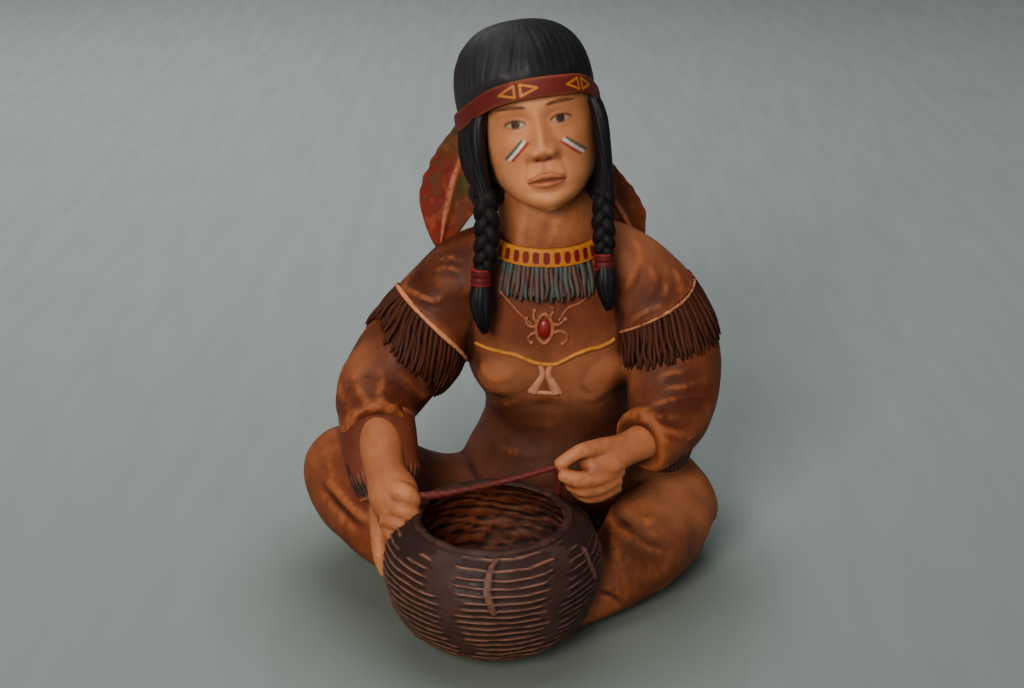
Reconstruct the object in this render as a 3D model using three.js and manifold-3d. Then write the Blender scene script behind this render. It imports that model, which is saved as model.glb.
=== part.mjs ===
// Ceramic figurine of a seated basket weaver, slip-cast in one piece.
// Millimetres, +Z up. The figure faces -Y and its own left hand is towards +X.
// The origin is on the underside, below the middle of the whole.

import * as THREE from 'three';
import { mergeVertices } from 'three/addons/utils/BufferGeometryUtils.js';
import Module from 'manifold-3d';

const wasm = await Module();
wasm.setup();

const X = new THREE.Vector3(1, 0, 0);
const Y = new THREE.Vector3(0, 1, 0);
const Z = new THREE.Vector3(0, 0, 1);

// The tables are measured from a point under the lap. The middle of the whole lies here from it.
const MIDDLE = [2.6, -1.6];

// Stations of a limb are [x, y, z, half width, half thickness] along its middle.
const TORSO = [
  [20, 60, -6, 60, 46],
  [20, 60, 20, 60, 46],
  [24, 58, 48, 48, 42],
  [28, 56, 76, 41, 36],
  [29, 53, 98, 43, 35],
  [25, 50, 122, 48, 37],
  [21, 48, 146, 50, 37],
  [20, 47, 166, 48, 33],
  [20, 45, 181, 40, 28],
  [20, 43, 193, 29, 23],
  [20, 42, 202, 20, 18],
];
// Rounded masses are [x, y, z, three radii]: the bust and the crossed feet under the lap.
const BUST = [
  [5, 28, 117, 18, 15, 15],
  [45, 28, 117, 18, 15, 15],
];
const LAP = [8, 8, 0, 64, 42, 36];
const LEFT_THIGH = [
  [30, 62, 36, 40, 38],
  [66, 48, 37, 35, 33],
  [85, 28, 34, 29, 31],
  [87, 12, 30, 24, 26],
];
const LEFT_SHIN = [
  [88, 24, 28, 27, 28],
  [76, -2, 27, 25, 27],
  [57, -26, 21, 20, 21],
  [38, -43, 15, 15, 15],
  [22, -56, 11, 12, 11],
];
const RIGHT_THIGH = [
  [8, 58, 28, 34, 28],
  [-38, 44, 30, 28, 24],
  [-76, 28, 52, 26, 26],
  [-91, 14, 64, 22, 23],
];
const RIGHT_SHIN = [
  [-88, 24, 60, 25, 26],
  [-80, 0, 54, 23, 24],
  [-64, -20, 44, 20, 20],
  [-38, -32, 30, 17, 17],
  [-8, -30, 16, 15, 15],
];
const RIGHT_SLEEVE = [
  [6, 46, 172, 22, 21],
  [-18, 46, 164, 22, 22],
  [-37, 44, 145, 22, 23],
  [-51, 36, 126, 24, 26],
  [-68, 20, 107, 22, 24],
  [-70, 2, 99, 19, 20],
  [-68, -10, 96, 17, 17],
];
const LEFT_SLEEVE = [
  [34, 46, 172, 22, 21],
  [60, 46, 167, 22, 22],
  [79, 41, 148, 23, 24],
  [89, 30, 123, 24, 26],
  [88, 15, 101, 22, 24],
  [80, 0, 92, 19, 20],
  [69, -12, 91, 17, 17],
];

// A yoke covers each shoulder and ends on a slanting edge with a fringe below it.
// Starts and ends are shares of the sleeve's length.
const YOKE = { lift: 2, slant: 0.05, end: 0.38 };
const FRINGE = { lift: 3.4, groove: 0.6, strands: 10, start: 0.35, end: 0.57 };

// Folds run slantwise round the sleeves below the fringe and round the knees.
const FOLDS = { depth: 1.3, along: 4, around: 2 };

// The wide cuff hangs open below each forearm.
const RIGHT_CUFF = [
  [-69, 2, 97, 20, 17],
  [-67, -10, 88, 20, 15],
  [-64, -20, 76, 18, 12],
  [-62, -26, 66, 14, 8],
];
const LEFT_CUFF = [
  [84, 2, 90, 20, 20],
  [74, -6, 82, 19, 18],
  [70, -10, 70, 14, 12],
];
const RIGHT_FOREARM = [
  [-69, -4, 98, 13, 12],
  [-66, -18, 92, 12.5, 11.5],
  [-63, -30, 82, 11.5, 10],
  [-60, -39, 72, 14, 11],
  [-56, -45, 66, 11, 9],
];
const LEFT_FOREARM = [
  [76, -8, 92, 11, 10],
  [63, -19, 91, 9, 8.5],
  [52, -25, 89, 11, 8],
  [43, -28, 87, 10, 7],
];
const RIGHT_FINGERS = [
  [[-56, -42, 76, 5.4], [-50, -46, 76, 5.4], [-47, -48, 72, 4.5]],
  [[-58, -47, 69, 5.4], [-51, -51, 67, 5.4], [-48, -51, 62, 4]],
  [[-60, -49, 62, 5], [-54, -54, 59, 4.5], [-51, -53, 56, 4]],
  [[-62, -44, 66, 5.5], [-63, -52, 55, 4.2], [-63, -58, 43, 2.4]],
];
const LEFT_FINGERS = [
  [[50, -27, 93, 5], [38, -31, 93, 4.5], [26, -32, 88, 3.6]],
  [[48, -31, 87, 5], [37, -35, 85, 4.5], [27, -33, 86, 3.6]],
  [[48, -30, 82, 5], [38, -33, 79, 4.5], [32, -29, 77, 4]],
  [[52, -27, 79, 5], [43, -29, 75, 4.5], [36, -25, 74, 4]],
];

// Head, in its own frame: the middle of the skull is the origin, the face looks to -Y.
const HEAD_CENTRE = [15.5, 38, 253];
const HEAD_ROLL = -9;
const HEAD_PITCH = -8;
// Skull rings are [z, half width, front, back].
const SKULL = [
  [45.5, 5, 6, 7],
  [41, 17, 20, 22],
  [30, 25, 28, 33],
  [17, 28.5, 31.5, 37],
  [4, 29.5, 32.5, 38],
  [-9, 29, 32.5, 36],
  [-20, 28, 32, 30],
  [-31, 25, 31, 22],
  [-40, 18, 29, 12],
  [-45.5, 8, 24, 2],
];
const SKULL_GRID = { sides: 22, steps: 16, crowding: 0.3 };
// Swellings and hollows of the face are [x, z, spread x, spread z, depth], x on both sides.
const FACE_RELIEF = [
  [0, -1, 3.2, 7, 3.5],
  [0, -13, 4, 6.5, 8],
  [4.6, -16, 2.4, 2.6, 3],
  [11.6, 0, 6, 4, -3.6],
  [11.6, 0, 3.8, 2.2, 2.2],
  [11, 8.5, 8, 2.6, 1.6],
  [17, -9, 6, 6, 1.6],
  [0, -26.5, 6.5, 1.7, 2.6],
  [0, -30.5, 5, 1.8, 2.4],
  [0, -28.4, 8, 0.8, -1],
  [0, -39, 6.5, 4.5, 2.2],
];
const NECK = [
  [20, 44, 180, 25, 22],
  [20, 43, 196, 23.5, 21],
  [19, 45, 212, 25, 21],
  [17, 46, 232, 28, 20],
];

// Hair: a cap over the band, a mass behind, a lock beside each cheek and two braids.
const CAP_CENTRE = [-4.5, 4, 12];
const CAP_RADII = [36.5, 41, 38];
const CAP_SQUARENESS = 0.8;
const CAP_LOCKS = { count: 11, depth: 0.02 };
const NAPE_CENTRE = [0, 12, 2];
const NAPE_RADII = [31, 31, 42];
const NAPE_FRONT = 6;
const BAND_CENTRE = [0, 2, 9];
const BAND_TILT = 20;
const BAND_HEIGHT = 9.5;
const BAND_RADII = [32.5, 38];
const RIGHT_LOCK = [
  [-13, 22, 262, 5, 8],
  [-16, 18, 246, 5, 7],
  [-15.5, 17, 230, 5, 6],
  [-13, 15, 216, 6, 6],
];
const LEFT_LOCK = [
  [43, 22, 268, 5, 8],
  [48, 19, 250, 5, 7],
  [50.5, 19, 232, 5, 6],
  [50, 20, 214, 6, 6],
];
const RIGHT_BRAID = [
  [-13, 15, 220, 6, 6],
  [-12, 12, 205, 6.5, 6],
  [-12, 10, 190, 6.5, 6],
  [-13, 9.5, 178, 5, 5],
];
const LEFT_BRAID = [
  [50, 19, 220, 6, 6],
  [49.5, 16, 207, 6.5, 6],
  [50, 14, 194, 6.5, 6],
  [50, 13, 184, 5, 5],
];
const PLAITS = { count: 4, swell: 0.16 };
const RIGHT_TIE = [[-13.5, 9.5, 181, 6, 6], [-14, 9, 173, 6, 6]];
const LEFT_TIE = [[50, 13.5, 187, 6, 6], [50.5, 12.5, 180, 6, 6]];
const RIGHT_TASSEL = [
  [-14, 9, 175, 5, 5],
  [-13.5, 7.5, 163, 7.5, 6],
  [-12.5, 7, 153, 5.5, 5],
  [-12, 7, 146, 2, 2],
];
const LEFT_TASSEL = [
  [50.5, 12, 182, 5, 5],
  [51.5, 9.5, 170, 7, 6],
  [52, 9, 160, 5, 5],
  [52.5, 9, 153, 2, 2],
];

// Feathers are flat blades tucked under the band at the sides of the head.
const RIGHT_FEATHER = [
  [-12, 42, 254, 6, 3],
  [-20, 47, 240, 10, 3.5],
  [-28, 54, 218, 15, 4],
  [-33, 58, 197, 15, 4],
  [-37, 60, 174, 7, 4],
];
const LEFT_FEATHER = [
  [30, 54, 244, 6, 3],
  [42, 60, 228, 10, 3.5],
  [54, 65, 208, 14, 4],
  [64, 68, 190, 14, 4],
  [72, 70, 172, 7, 4],
];

// Collar with a fringe, and the ornaments on the chest.
const COLLAR_CENTRE = [20, 40, 187];
const COLLAR_RADII = [27.5, 26];
const COLLAR_HEIGHT = 9;
const COLLAR_TILT = 3;
const COLLAR_FRINGE = { tuck: 1, lift: 1.6, height: 21, flare: 5.5, strands: 14 };
const MEDALLION = { x: 19.5, z: 148.5, radii: [4.5, 3, 6], rays: 6, reach: 11.5, thick: 1.8 };
const CHEST_LINE = { middle: 20, half: 39, z: 126, rise: 7, thick: 1.6 };
// Bars of the tepee motif are [x, z, x, z] from end to end.
const TEPEE_BARS = [
  [12.5, 109, 22, 125],
  [28.5, 109, 19, 125],
  [14, 110.5, 27, 110.5],
];
const TEPEE_THICK = 1.7;

// Basket of coiled rows. Its outline is [radius, height] from the base to the mouth, and the
// inside follows it down from the mouth for a share of its length.
const BASKET_CENTRE = [-7.5, -53.5];
const BASKET_OUTLINE = [[24, 0], [47.5, 17.5], [55.5, 44], [51, 61], [41, 69]];
const BASKET_WALL = 5;
const BASKET_FLOOR = 8;
const BASKET_INSIDE = { share: 0.86, steps: 6 };
const BASKET_ROWS = 8;
const BASKET_SIDES = 24;
const ROW_DEPTH = 0.9;
const STRAND = [
  [-52, -46, 76, 2.4, 2.4],
  [-30, -43, 77, 2.4, 2.4],
  [0, -37, 81, 2.4, 2.4],
  [27, -32, 87, 2.4, 2.4],
];
const STRAND_TAIL = [
  [26, -32, 87, 2.4, 2.4],
  [27, -30, 78, 2.6, 2.6],
  [26, -27, 66, 3, 3],
];
const CLAY = 0x8a4a2a;

// Solids

function solidFrom(positions, triangles) {
  const mesh = new wasm.Mesh({
    numProp: 3,
    vertProperties: Float32Array.from(positions),
    triVerts: Uint32Array.from(triangles),
  });
  return new wasm.Manifold(mesh);
}

function solidOf(geometry) {
  const bare = geometry.clone();
  bare.deleteAttribute('normal');
  bare.deleteAttribute('uv');
  const merged = mergeVertices(bare, 1e-4);
  return solidFrom(merged.attributes.position.array, merged.index.array);
}

function joined(solids) {
  return solids.reduce((whole, piece) => whole.add(piece));
}

// Joins equal rings of points into a skin and closes both ends on their middles.
function skinned(rings) {
  const sides = rings[0].length;
  const points = rings.flat();
  const triangles = [];
  for (let row = 0; row + 1 < rings.length; row++) {
    for (let side = 0; side < sides; side++) {
      const next = (side + 1) % sides;
      const low = row * sides;
      const high = low + sides;
      triangles.push(low + side, low + next, high + next);
      triangles.push(low + side, high + next, high + side);
    }
  }
  const ends = [[0, rings[0]], [points.length - sides, rings[rings.length - 1]]];
  ends.forEach(([start, ring], end) => {
    const middle = ring.reduce((sum, point) => sum.add(point), new THREE.Vector3()).divideScalar(sides);
    const hub = points.push(middle) - 1;
    for (let side = 0; side < sides; side++) {
      const next = (side + 1) % sides;
      triangles.push(...(end ? [hub, start + side, start + next] : [hub, start + next, start + side]));
    }
  });
  const flipped = signedVolume(points, triangles) < 0 ? triangles.toReversed() : triangles;
  return solidFrom(points.flatMap((point) => point.toArray()), flipped);
}

function signedVolume(points, triangles) {
  let total = 0;
  for (let i = 0; i < triangles.length; i += 3) {
    const [a, b, c] = triangles.slice(i, i + 3).map((index) => points[index]);
    total += a.dot(b.clone().cross(c));
  }
  return total;
}

// Limbs

// A rounded end reaches this share of the thickness past its last station, and stays a little flat.
const END_BULGE = 0.8;
const END_FLAT = 0.6;

function trackOf(stations) {
  const place = stations.map(([x, y, z]) => new THREE.Vector3(x, y, z));
  const size = stations.map(([, , , wide, thick]) => new THREE.Vector3(wide, thick ?? wide, 0));
  return {
    path: new THREE.CatmullRomCurve3(place, false, 'catmullrom'),
    size: new THREE.CatmullRomCurve3(size, false, 'catmullrom'),
  };
}

// A point of the limb's skin. The wide axis is the given direction, squared to the track.
function skinPoint(track, t, wideAxis, angle, { scale = 1, lift = 0 }) {
  const middle = track.path.getPoint(t);
  const along = track.path.getTangent(t);
  const radii = track.size.getPoint(t);
  const wide = wideAxis.clone().addScaledVector(along, -wideAxis.dot(along)).normalize();
  const thick = along.clone().cross(wide);
  return middle
    .addScaledVector(wide, (radii.x * scale + lift) * Math.cos(angle))
    .addScaledVector(thick, (radii.y * scale + lift) * Math.sin(angle));
}

// A limb runs from t = from to t = to, and its far end is rounded off in a few short steps.
// Its reach gives the scale and lift of a skin point, and its slant slides the point along.
function limb(stations, options = {}) {
  const { wideAxis = X, sides = 12, steps = 5, from = 0, to = 1, round = 0, slant = 0 } = options;
  const { reach = () => ({}) } = options;
  const track = trackOf(stations);
  const rings = [];
  for (let step = 0; step <= steps; step++) {
    const t = from + ((to - from) * step) / steps;
    rings.push(Array.from({ length: sides }, (_, side) => {
      const angle = (2 * Math.PI * side) / sides;
      const slid = THREE.MathUtils.clamp(t + slant * Math.sin(angle), 0, 1);
      return skinPoint(track, slid, wideAxis, angle, reach(t, angle, side));
    }));
  }
  const tip = track.path.getPoint(to);
  const along = track.path.getTangent(to);
  const bulge = track.size.getPoint(to).y * END_BULGE;
  const last = rings[rings.length - 1];
  for (let step = 1; step <= round; step++) {
    const angle = (Math.PI / 2) * (step / (round + END_FLAT));
    const push = along.clone().multiplyScalar(bulge * Math.sin(angle));
    rings.push(last.map((point) => tip.clone().lerp(point, Math.cos(angle)).add(push)));
  }
  return skinned(rings);
}

// Ball scaled to three radii
function ball([x, y, z], [a, b, c], detail) {
  const geometry = new THREE.SphereGeometry(1, detail, Math.round(detail * 0.6));
  geometry.scale(a, b, c);
  geometry.translate(x, y, z);
  return solidOf(geometry);
}

// Round belt of a given height, an upright elliptic cylinder before it is placed
function belt([a, b], height, sides, placing) {
  const geometry = new THREE.CylinderGeometry(1, 1, height, sides);
  geometry.rotateX(Math.PI / 2);
  geometry.scale(a, b, 1);
  geometry.applyMatrix4(placing);
  return solidOf(geometry);
}

function placingOf([x, y, z], pitch, roll = 0) {
  const turn = new THREE.Euler(THREE.MathUtils.degToRad(pitch), THREE.MathUtils.degToRad(roll), 0);
  return new THREE.Matrix4().makeRotationFromEuler(turn).setPosition(x, y, z);
}

// Dress

function foldLift(t, angle) {
  const { depth, along, around } = FOLDS;
  return { lift: depth * Math.sin(2 * Math.PI * along * t + around * angle) };
}

function body() {
  const pieces = [limb(TORSO, { sides: 18, steps: 10 })];
  for (const [x, y, z, a, b, c] of [...BUST, LAP]) {
    pieces.push(ball([x, y, z], [a, b, c], 10));
  }
  for (const leg of [LEFT_THIGH, LEFT_SHIN, RIGHT_THIGH, RIGHT_SHIN]) {
    pieces.push(limb(leg, { wideAxis: Y, round: 2, reach: foldLift }));
  }
  return pieces;
}

function sleeve(stations, cuff, slant) {
  const { lift, groove, strands, start, end } = FRINGE;
  const yoke = { wideAxis: Y, steps: 3, to: YOKE.end, slant, reach: () => ({ lift: YOKE.lift }) };
  const strand = (t, angle, side) => ({ lift: side % 2 ? lift : groove });
  const fringe = { wideAxis: Y, sides: 2 * strands, steps: 2, from: start, to: end, slant, reach: strand };
  return [
    limb(stations, { wideAxis: Y, steps: 9, reach: foldLift }),
    limb(stations, yoke),
    limb(stations, fringe),
    limb(cuff, { sides: 9, steps: 3 }),
  ];
}

function hand(forearm, fingers) {
  return [
    limb(forearm, { sides: 10, round: 1 }),
    ...fingers.map((finger) => limb(finger, { wideAxis: Z, sides: 5, steps: 2, round: 1 })),
  ];
}

// Head

function headPlacing() {
  return placingOf(HEAD_CENTRE, HEAD_PITCH, HEAD_ROLL);
}

function faceDepth(x, z) {
  const bump = (value, spread) => Math.exp(-0.5 * (value / spread) ** 2);
  return FACE_RELIEF.reduce((sum, [px, pz, sx, sz, depth]) => {
    const across = px === 0 ? bump(x, sx) : bump(x - px, sx) + bump(x + px, sx);
    return sum + depth * across * bump(z - pz, sz);
  }, 0);
}

// Points are crowded towards the face and the back of the head, and spread out at its sides.
function skull() {
  const { sides, steps, crowding } = SKULL_GRID;
  const widths = SKULL.map(([z, width]) => new THREE.Vector3(width, 0, z));
  const depths = SKULL.map(([, , front, back]) => new THREE.Vector3(front, back, 0));
  const profile = new THREE.CatmullRomCurve3(widths, false, 'catmullrom');
  const depth = new THREE.CatmullRomCurve3(depths, false, 'catmullrom');
  const placing = headPlacing();
  const rings = [];
  for (let step = 0; step <= steps; step++) {
    const { x: width, z } = profile.getPoint(step / steps);
    const { x: front, y: back } = depth.getPoint(step / steps);
    const ring = [];
    for (let side = 0; side < sides; side++) {
      const turn = (2 * Math.PI * side) / sides;
      const angle = turn + crowding * Math.sin(2 * turn);
      const ahead = Math.sin(angle) < 0;
      const x = width * Math.cos(angle);
      const y = (ahead ? front : back) * Math.sin(angle);
      const relief = ahead ? faceDepth(x, z) * Math.min(1, -2 * Math.sin(angle)) : 0;
      ring.push(new THREE.Vector3(x, y - relief, z).applyMatrix4(placing));
    }
    rings.push(ring);
  }
  return skinned(rings);
}

// Half space on the far side of a plane, as a large box
function cutter(placing, side) {
  const span = 400;
  const geometry = new THREE.BoxGeometry(span, span, span);
  geometry.translate(...side.clone().multiplyScalar(span / 2).toArray());
  geometry.applyMatrix4(placing);
  return solidOf(geometry);
}

// Egg of the head's frame. A squareness under 1 makes its sides straighter and its crown flatter.
function eggOfHead(centre, radii, squareness = 1) {
  const geometry = new THREE.SphereGeometry(1, 22, 10);
  geometry.rotateX(Math.PI / 2);
  const corners = geometry.attributes.position;
  for (let i = 0; i < corners.count; i++) {
    const [x, y, z] = [corners.getX(i), corners.getY(i), corners.getZ(i)];
    const around = Math.hypot(x, y);
    const lock = 1 + CAP_LOCKS.depth * Math.cos(CAP_LOCKS.count * Math.atan2(y, x));
    const wider = around > 1e-6 ? lock * around ** (squareness - 1) : 1;
    corners.setXYZ(i, x * wider, y * wider, Math.sign(z) * Math.abs(z) ** squareness);
  }
  geometry.scale(...radii);
  geometry.translate(...centre);
  geometry.applyMatrix4(headPlacing());
  return solidOf(geometry);
}

// The plaits swell on one side of the braid and then on the other.
function plait(t, angle) {
  const side = Math.cos(angle) > -1e-6 ? 1 : -1;
  return { scale: 1 + side * PLAITS.swell * Math.sin(2 * Math.PI * PLAITS.count * t) };
}

function hair() {
  const bandPlacing = headPlacing().multiply(placingOf(BAND_CENTRE, -BAND_TILT));
  const napePlacing = headPlacing().multiply(placingOf([0, NAPE_FRONT, 0], 0));
  const cap = eggOfHead(CAP_CENTRE, CAP_RADII, CAP_SQUARENESS).intersect(cutter(bandPlacing, Z));
  const nape = eggOfHead(NAPE_CENTRE, NAPE_RADII).intersect(cutter(napePlacing, Y));
  const band = belt(BAND_RADII, BAND_HEIGHT, 28, bandPlacing);
  const pieces = [cap, nape, band];
  for (const lock of [RIGHT_LOCK, LEFT_LOCK]) {
    pieces.push(limb(lock, { sides: 7, steps: 4 }));
  }
  for (const braid of [RIGHT_BRAID, LEFT_BRAID]) {
    pieces.push(limb(braid, { sides: 6, steps: 3 * PLAITS.count, reach: plait }));
  }
  for (const tie of [RIGHT_TIE, LEFT_TIE]) {
    pieces.push(limb(tie, { sides: 7, steps: 1 }));
  }
  for (const tassel of [RIGHT_TASSEL, LEFT_TASSEL]) {
    pieces.push(limb(tassel, { sides: 8, steps: 4 }));
  }
  return pieces;
}

function feathers() {
  return [RIGHT_FEATHER, LEFT_FEATHER].map((stations) => (
    limb(stations, { sides: 8, round: 1 })
  ));
}

// Collar and chest ornaments

function collar() {
  const [x, y, z] = COLLAR_CENTRE;
  const [a, b] = COLLAR_RADII;
  const band = belt(COLLAR_RADII, COLLAR_HEIGHT, 24, placingOf(COLLAR_CENTRE, COLLAR_TILT));
  const { tuck, lift, height, flare, strands } = COLLAR_FRINGE;
  const top = z - COLLAR_HEIGHT / 2 + tuck;
  const rings = [0, 0.5, 1].map((drop) => (
    Array.from({ length: 2 * strands }, (_, side) => {
      const angle = (Math.PI * side) / strands;
      const reach = flare * drop - tuck + (side % 2 ? lift : 0);
      return new THREE.Vector3(
        x + (a + reach) * Math.cos(angle),
        y + (b + reach) * Math.sin(angle),
        top - height * drop,
      );
    })
  ));
  return [band, skinned(rings)];
}

// Point on the front of the torso's surface, found by halving on the height
function chestPoint(x, z) {
  const track = trackOf(TORSO);
  let [low, high] = [0, 1];
  while (high - low > 1e-4) {
    const middle = (low + high) / 2;
    [low, high] = track.path.getPoint(middle).z < z ? [middle, high] : [low, middle];
  }
  const centre = track.path.getPoint(low);
  const { x: wide, y: deep } = track.size.getPoint(low);
  return [x, centre.y - deep * Math.sqrt(1 - ((x - centre.x) / wide) ** 2), z];
}

// Raised bar along points of the chest
function chestBar(points, thick, steps = 1) {
  const stations = points.map(([x, z]) => [...chestPoint(x, z), thick, thick]);
  return limb(stations, { wideAxis: Y, sides: 4, steps });
}

function ornaments() {
  const { x, z, radii, rays, reach, thick } = MEDALLION;
  const { middle, half, z: low, rise, thick: line } = CHEST_LINE;
  const arc = [-1, -0.67, -0.33, 0, 0.33, 0.67, 1];
  const pieces = [
    ball(chestPoint(x, z), radii, 10),
    chestBar(arc.map((way) => [middle + half * way, low + rise * way * way]), line, arc.length - 1),
    ...TEPEE_BARS.map(([x1, z1, x2, z2]) => chestBar([[x1, z1], [x2, z2]], TEPEE_THICK)),
  ];
  for (let ray = 0; ray < rays; ray++) {
    const angle = (2 * Math.PI * (ray + 0.5)) / rays;
    pieces.push(chestBar([[x, z], [x + reach * Math.cos(angle), z + reach * Math.sin(angle)]], thick));
  }
  return pieces;
}

// Basket

function basketCurve() {
  const points = BASKET_OUTLINE.map(([radius, height]) => new THREE.Vector3(radius, height, 0));
  return new THREE.CatmullRomCurve3(points, false, 'centripetal');
}

// Inside of the wall, from the rim down to the floor
function insideProfile() {
  const outer = basketCurve();
  const { share, steps } = BASKET_INSIDE;
  return Array.from({ length: steps + 1 }, (_, step) => {
    const { x, y } = outer.getPoint(1 - (share * step) / steps);
    return new THREE.Vector2(x - BASKET_WALL, Math.max(y, BASKET_FLOOR));
  });
}

function turned(profile) {
  const geometry = new THREE.LatheGeometry(profile, BASKET_SIDES);
  geometry.rotateX(Math.PI / 2);
  geometry.translate(BASKET_CENTRE[0], BASKET_CENTRE[1], 0);
  return solidOf(geometry);
}

function basket() {
  const outer = basketCurve();
  const steps = 2 * BASKET_ROWS;
  const profile = [new THREE.Vector2(0, 0)];
  for (let step = 0; step <= steps; step++) {
    const { x, y } = outer.getPoint(step / steps);
    const groove = step > 0 && step < steps && step % 2 === 0 ? ROW_DEPTH : 0;
    profile.push(new THREE.Vector2(x - groove, y));
  }
  return turned([...profile, ...insideProfile(), new THREE.Vector2(0, BASKET_FLOOR)]);
}

// The clear space inside the basket, which the legs behind it don't enter
function basketHollow() {
  const inside = insideProfile().reverse();
  const rim = inside[inside.length - 1].y;
  return turned([new THREE.Vector2(0, BASKET_FLOOR), ...inside, new THREE.Vector2(0, rim)]);
}

function strand() {
  return [STRAND, STRAND_TAIL].map((stations) => limb(stations, { wideAxis: Z, sides: 6 }));
}

function figurineSolid() {
  const clothed = joined([
    ...body(),
    ...sleeve(RIGHT_SLEEVE, RIGHT_CUFF, YOKE.slant),
    ...sleeve(LEFT_SLEEVE, LEFT_CUFF, -YOKE.slant),
  ]);
  const figure = joined([
    clothed.subtract(basketHollow()),
    ...hand(RIGHT_FOREARM, RIGHT_FINGERS),
    ...hand(LEFT_FOREARM, LEFT_FINGERS),
    limb(NECK, { steps: 3 }),
    skull(),
    ...hair(),
    ...feathers(),
    ...collar(),
    ...ornaments(),
    basket(),
    ...strand(),
  ]);
  const ground = cutter(new THREE.Matrix4(), Z.clone().negate());
  return figure.subtract(ground);
}

function geometryOf(solid) {
  const { vertProperties, triVerts } = solid.getMesh();
  const geometry = new THREE.BufferGeometry();
  geometry.setAttribute('position', new THREE.BufferAttribute(vertProperties, 3));
  geometry.setIndex(new THREE.BufferAttribute(triVerts, 1));
  geometry.computeVertexNormals();
  return geometry;
}

const material = new THREE.MeshStandardMaterial({ color: CLAY, roughness: 0.5, metalness: 0 });
const figurine = new THREE.Mesh(geometryOf(figurineSolid()), material);
figurine.name = 'figurine';
figurine.position.set(-MIDDLE[0], -MIDDLE[1], 0);

const group = new THREE.Group();
group.add(figurine);

export default group;
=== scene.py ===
"""Ceramic figurine of a seated basket weaver: the painted surfaces of its cast form.

Tables are in millimetres, measured from a point under the lap, with +Z up and the figure facing -Y.
Meshes are in metres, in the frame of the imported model.
"""

import math
from collections import namedtuple

import bpy
import numpy as np
from bpy.types import Operator, Panel, PropertyGroup
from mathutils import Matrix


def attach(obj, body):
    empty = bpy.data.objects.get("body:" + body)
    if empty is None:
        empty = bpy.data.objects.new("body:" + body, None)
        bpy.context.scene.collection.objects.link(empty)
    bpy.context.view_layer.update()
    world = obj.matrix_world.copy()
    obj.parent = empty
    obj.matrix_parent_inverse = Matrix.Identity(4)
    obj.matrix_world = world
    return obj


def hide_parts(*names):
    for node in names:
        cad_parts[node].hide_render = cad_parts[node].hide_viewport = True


bl_info = {
    "name": "Ceramic Basket Weaver",
    "version": (1, 0, 0),
    "blender": (4, 5, 0),
    "location": "View3D > Sidebar > Figurine",
    "description": "Paints and details the cast ceramic figurine of a seated basket weaver",
    "category": "Add Mesh",
}

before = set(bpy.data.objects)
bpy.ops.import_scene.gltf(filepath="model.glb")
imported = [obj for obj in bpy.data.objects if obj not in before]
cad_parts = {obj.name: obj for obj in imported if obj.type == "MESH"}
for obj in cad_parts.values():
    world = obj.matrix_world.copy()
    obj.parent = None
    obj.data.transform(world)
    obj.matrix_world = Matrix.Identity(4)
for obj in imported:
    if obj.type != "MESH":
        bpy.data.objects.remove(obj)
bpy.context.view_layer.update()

NODE = "figurine"
BODY = "root"
MM = 0.001
SIDES = ("right", "left")
X, Y, Z = np.eye(3)
MIDDLE = np.array([2.6, -1.6, 0.0])

# The picture's camera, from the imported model's frame
PICTURE = {"place": (-0.1, -800.2, 462.4), "pitch": 21.8, "focal": 1661.0, "width": 1024, "height": 688}
SENSOR = 36.0
# The stage, in metres and watts. Lamps are [name, place, size, power, tint].
FLOOR_HALF = 6.0
FLOOR_ROUGHNESS = 0.85
LAMPS = [
    ["key", (-0.42, -1.2, 0.8), 0.55, 21.0, (1.0, 0.96, 0.9)],
    ["fill", (0.95, -0.9, 0.75), 1.2, 2.0, (0.92, 0.96, 1.0)],
    ["top", (-0.1, 0.1, 1.4), 0.9, 7.5, (1.0, 1.0, 1.0)],
    ["back", (-0.7, 1.5, 1.2), 0.8, 3.0, (0.94, 0.98, 1.0)],
]
LAMP_AIM = (0, 0, 0.13)
STUDIO_TINT = (0.86, 0.9, 0.92, 1)
STUDIO_STRENGTH = 0.15

# Stations of a limb are [x, y, z, half width, half thickness] along its middle
TORSO = [
    [20, 60, -6, 60, 46], [20, 60, 20, 60, 46], [24, 58, 48, 48, 42], [28, 56, 76, 41, 36],
    [29, 53, 98, 43, 35], [25, 50, 122, 48, 37], [21, 48, 146, 50, 37], [20, 47, 166, 48, 33],
    [20, 45, 181, 40, 28], [20, 43, 190, 28, 22], [20, 42, 200, 17, 15],
]
# Rounded masses are [x, y, z, three radii]
BUST = [[5, 30, 117, 21, 14.5, 18], [45, 30, 117, 21, 14.5, 18]]
LAP = [8, 8, 0, 64, 42, 36]
THIGH = {
    "right": [[8, 58, 28, 34, 28], [-38, 44, 30, 28, 24], [-76, 28, 52, 26, 26], [-91, 14, 64, 22, 23]],
    "left": [[30, 62, 36, 40, 38], [66, 48, 37, 35, 33], [85, 28, 34, 29, 31], [87, 12, 30, 24, 26]],
}
SHIN = {
    "right": [[-88, 24, 60, 25, 26], [-80, 0, 54, 23, 24], [-64, -20, 44, 20, 20], [-38, -32, 30, 17, 17],
              [-8, -30, 16, 15, 15]],
    "left": [[88, 24, 28, 27, 28], [76, -2, 27, 25, 27], [57, -26, 21, 20, 21], [38, -43, 15, 15, 15],
             [22, -56, 11, 12, 11]],
}
SLEEVE = {
    "right": [[6, 46, 172, 22, 21], [-18, 46, 164, 22, 22], [-37, 44, 145, 22, 23], [-51, 36, 126, 24, 26],
              [-68, 20, 107, 22, 24], [-70, 2, 99, 19, 20], [-68, -10, 96, 17, 17]],
    "left": [[34, 46, 172, 22, 21], [60, 46, 167, 22, 22], [79, 41, 148, 23, 24], [89, 30, 123, 24, 26],
             [88, 15, 101, 22, 24], [80, 0, 92, 19, 20], [69, -12, 91, 17, 17]],
}
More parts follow.
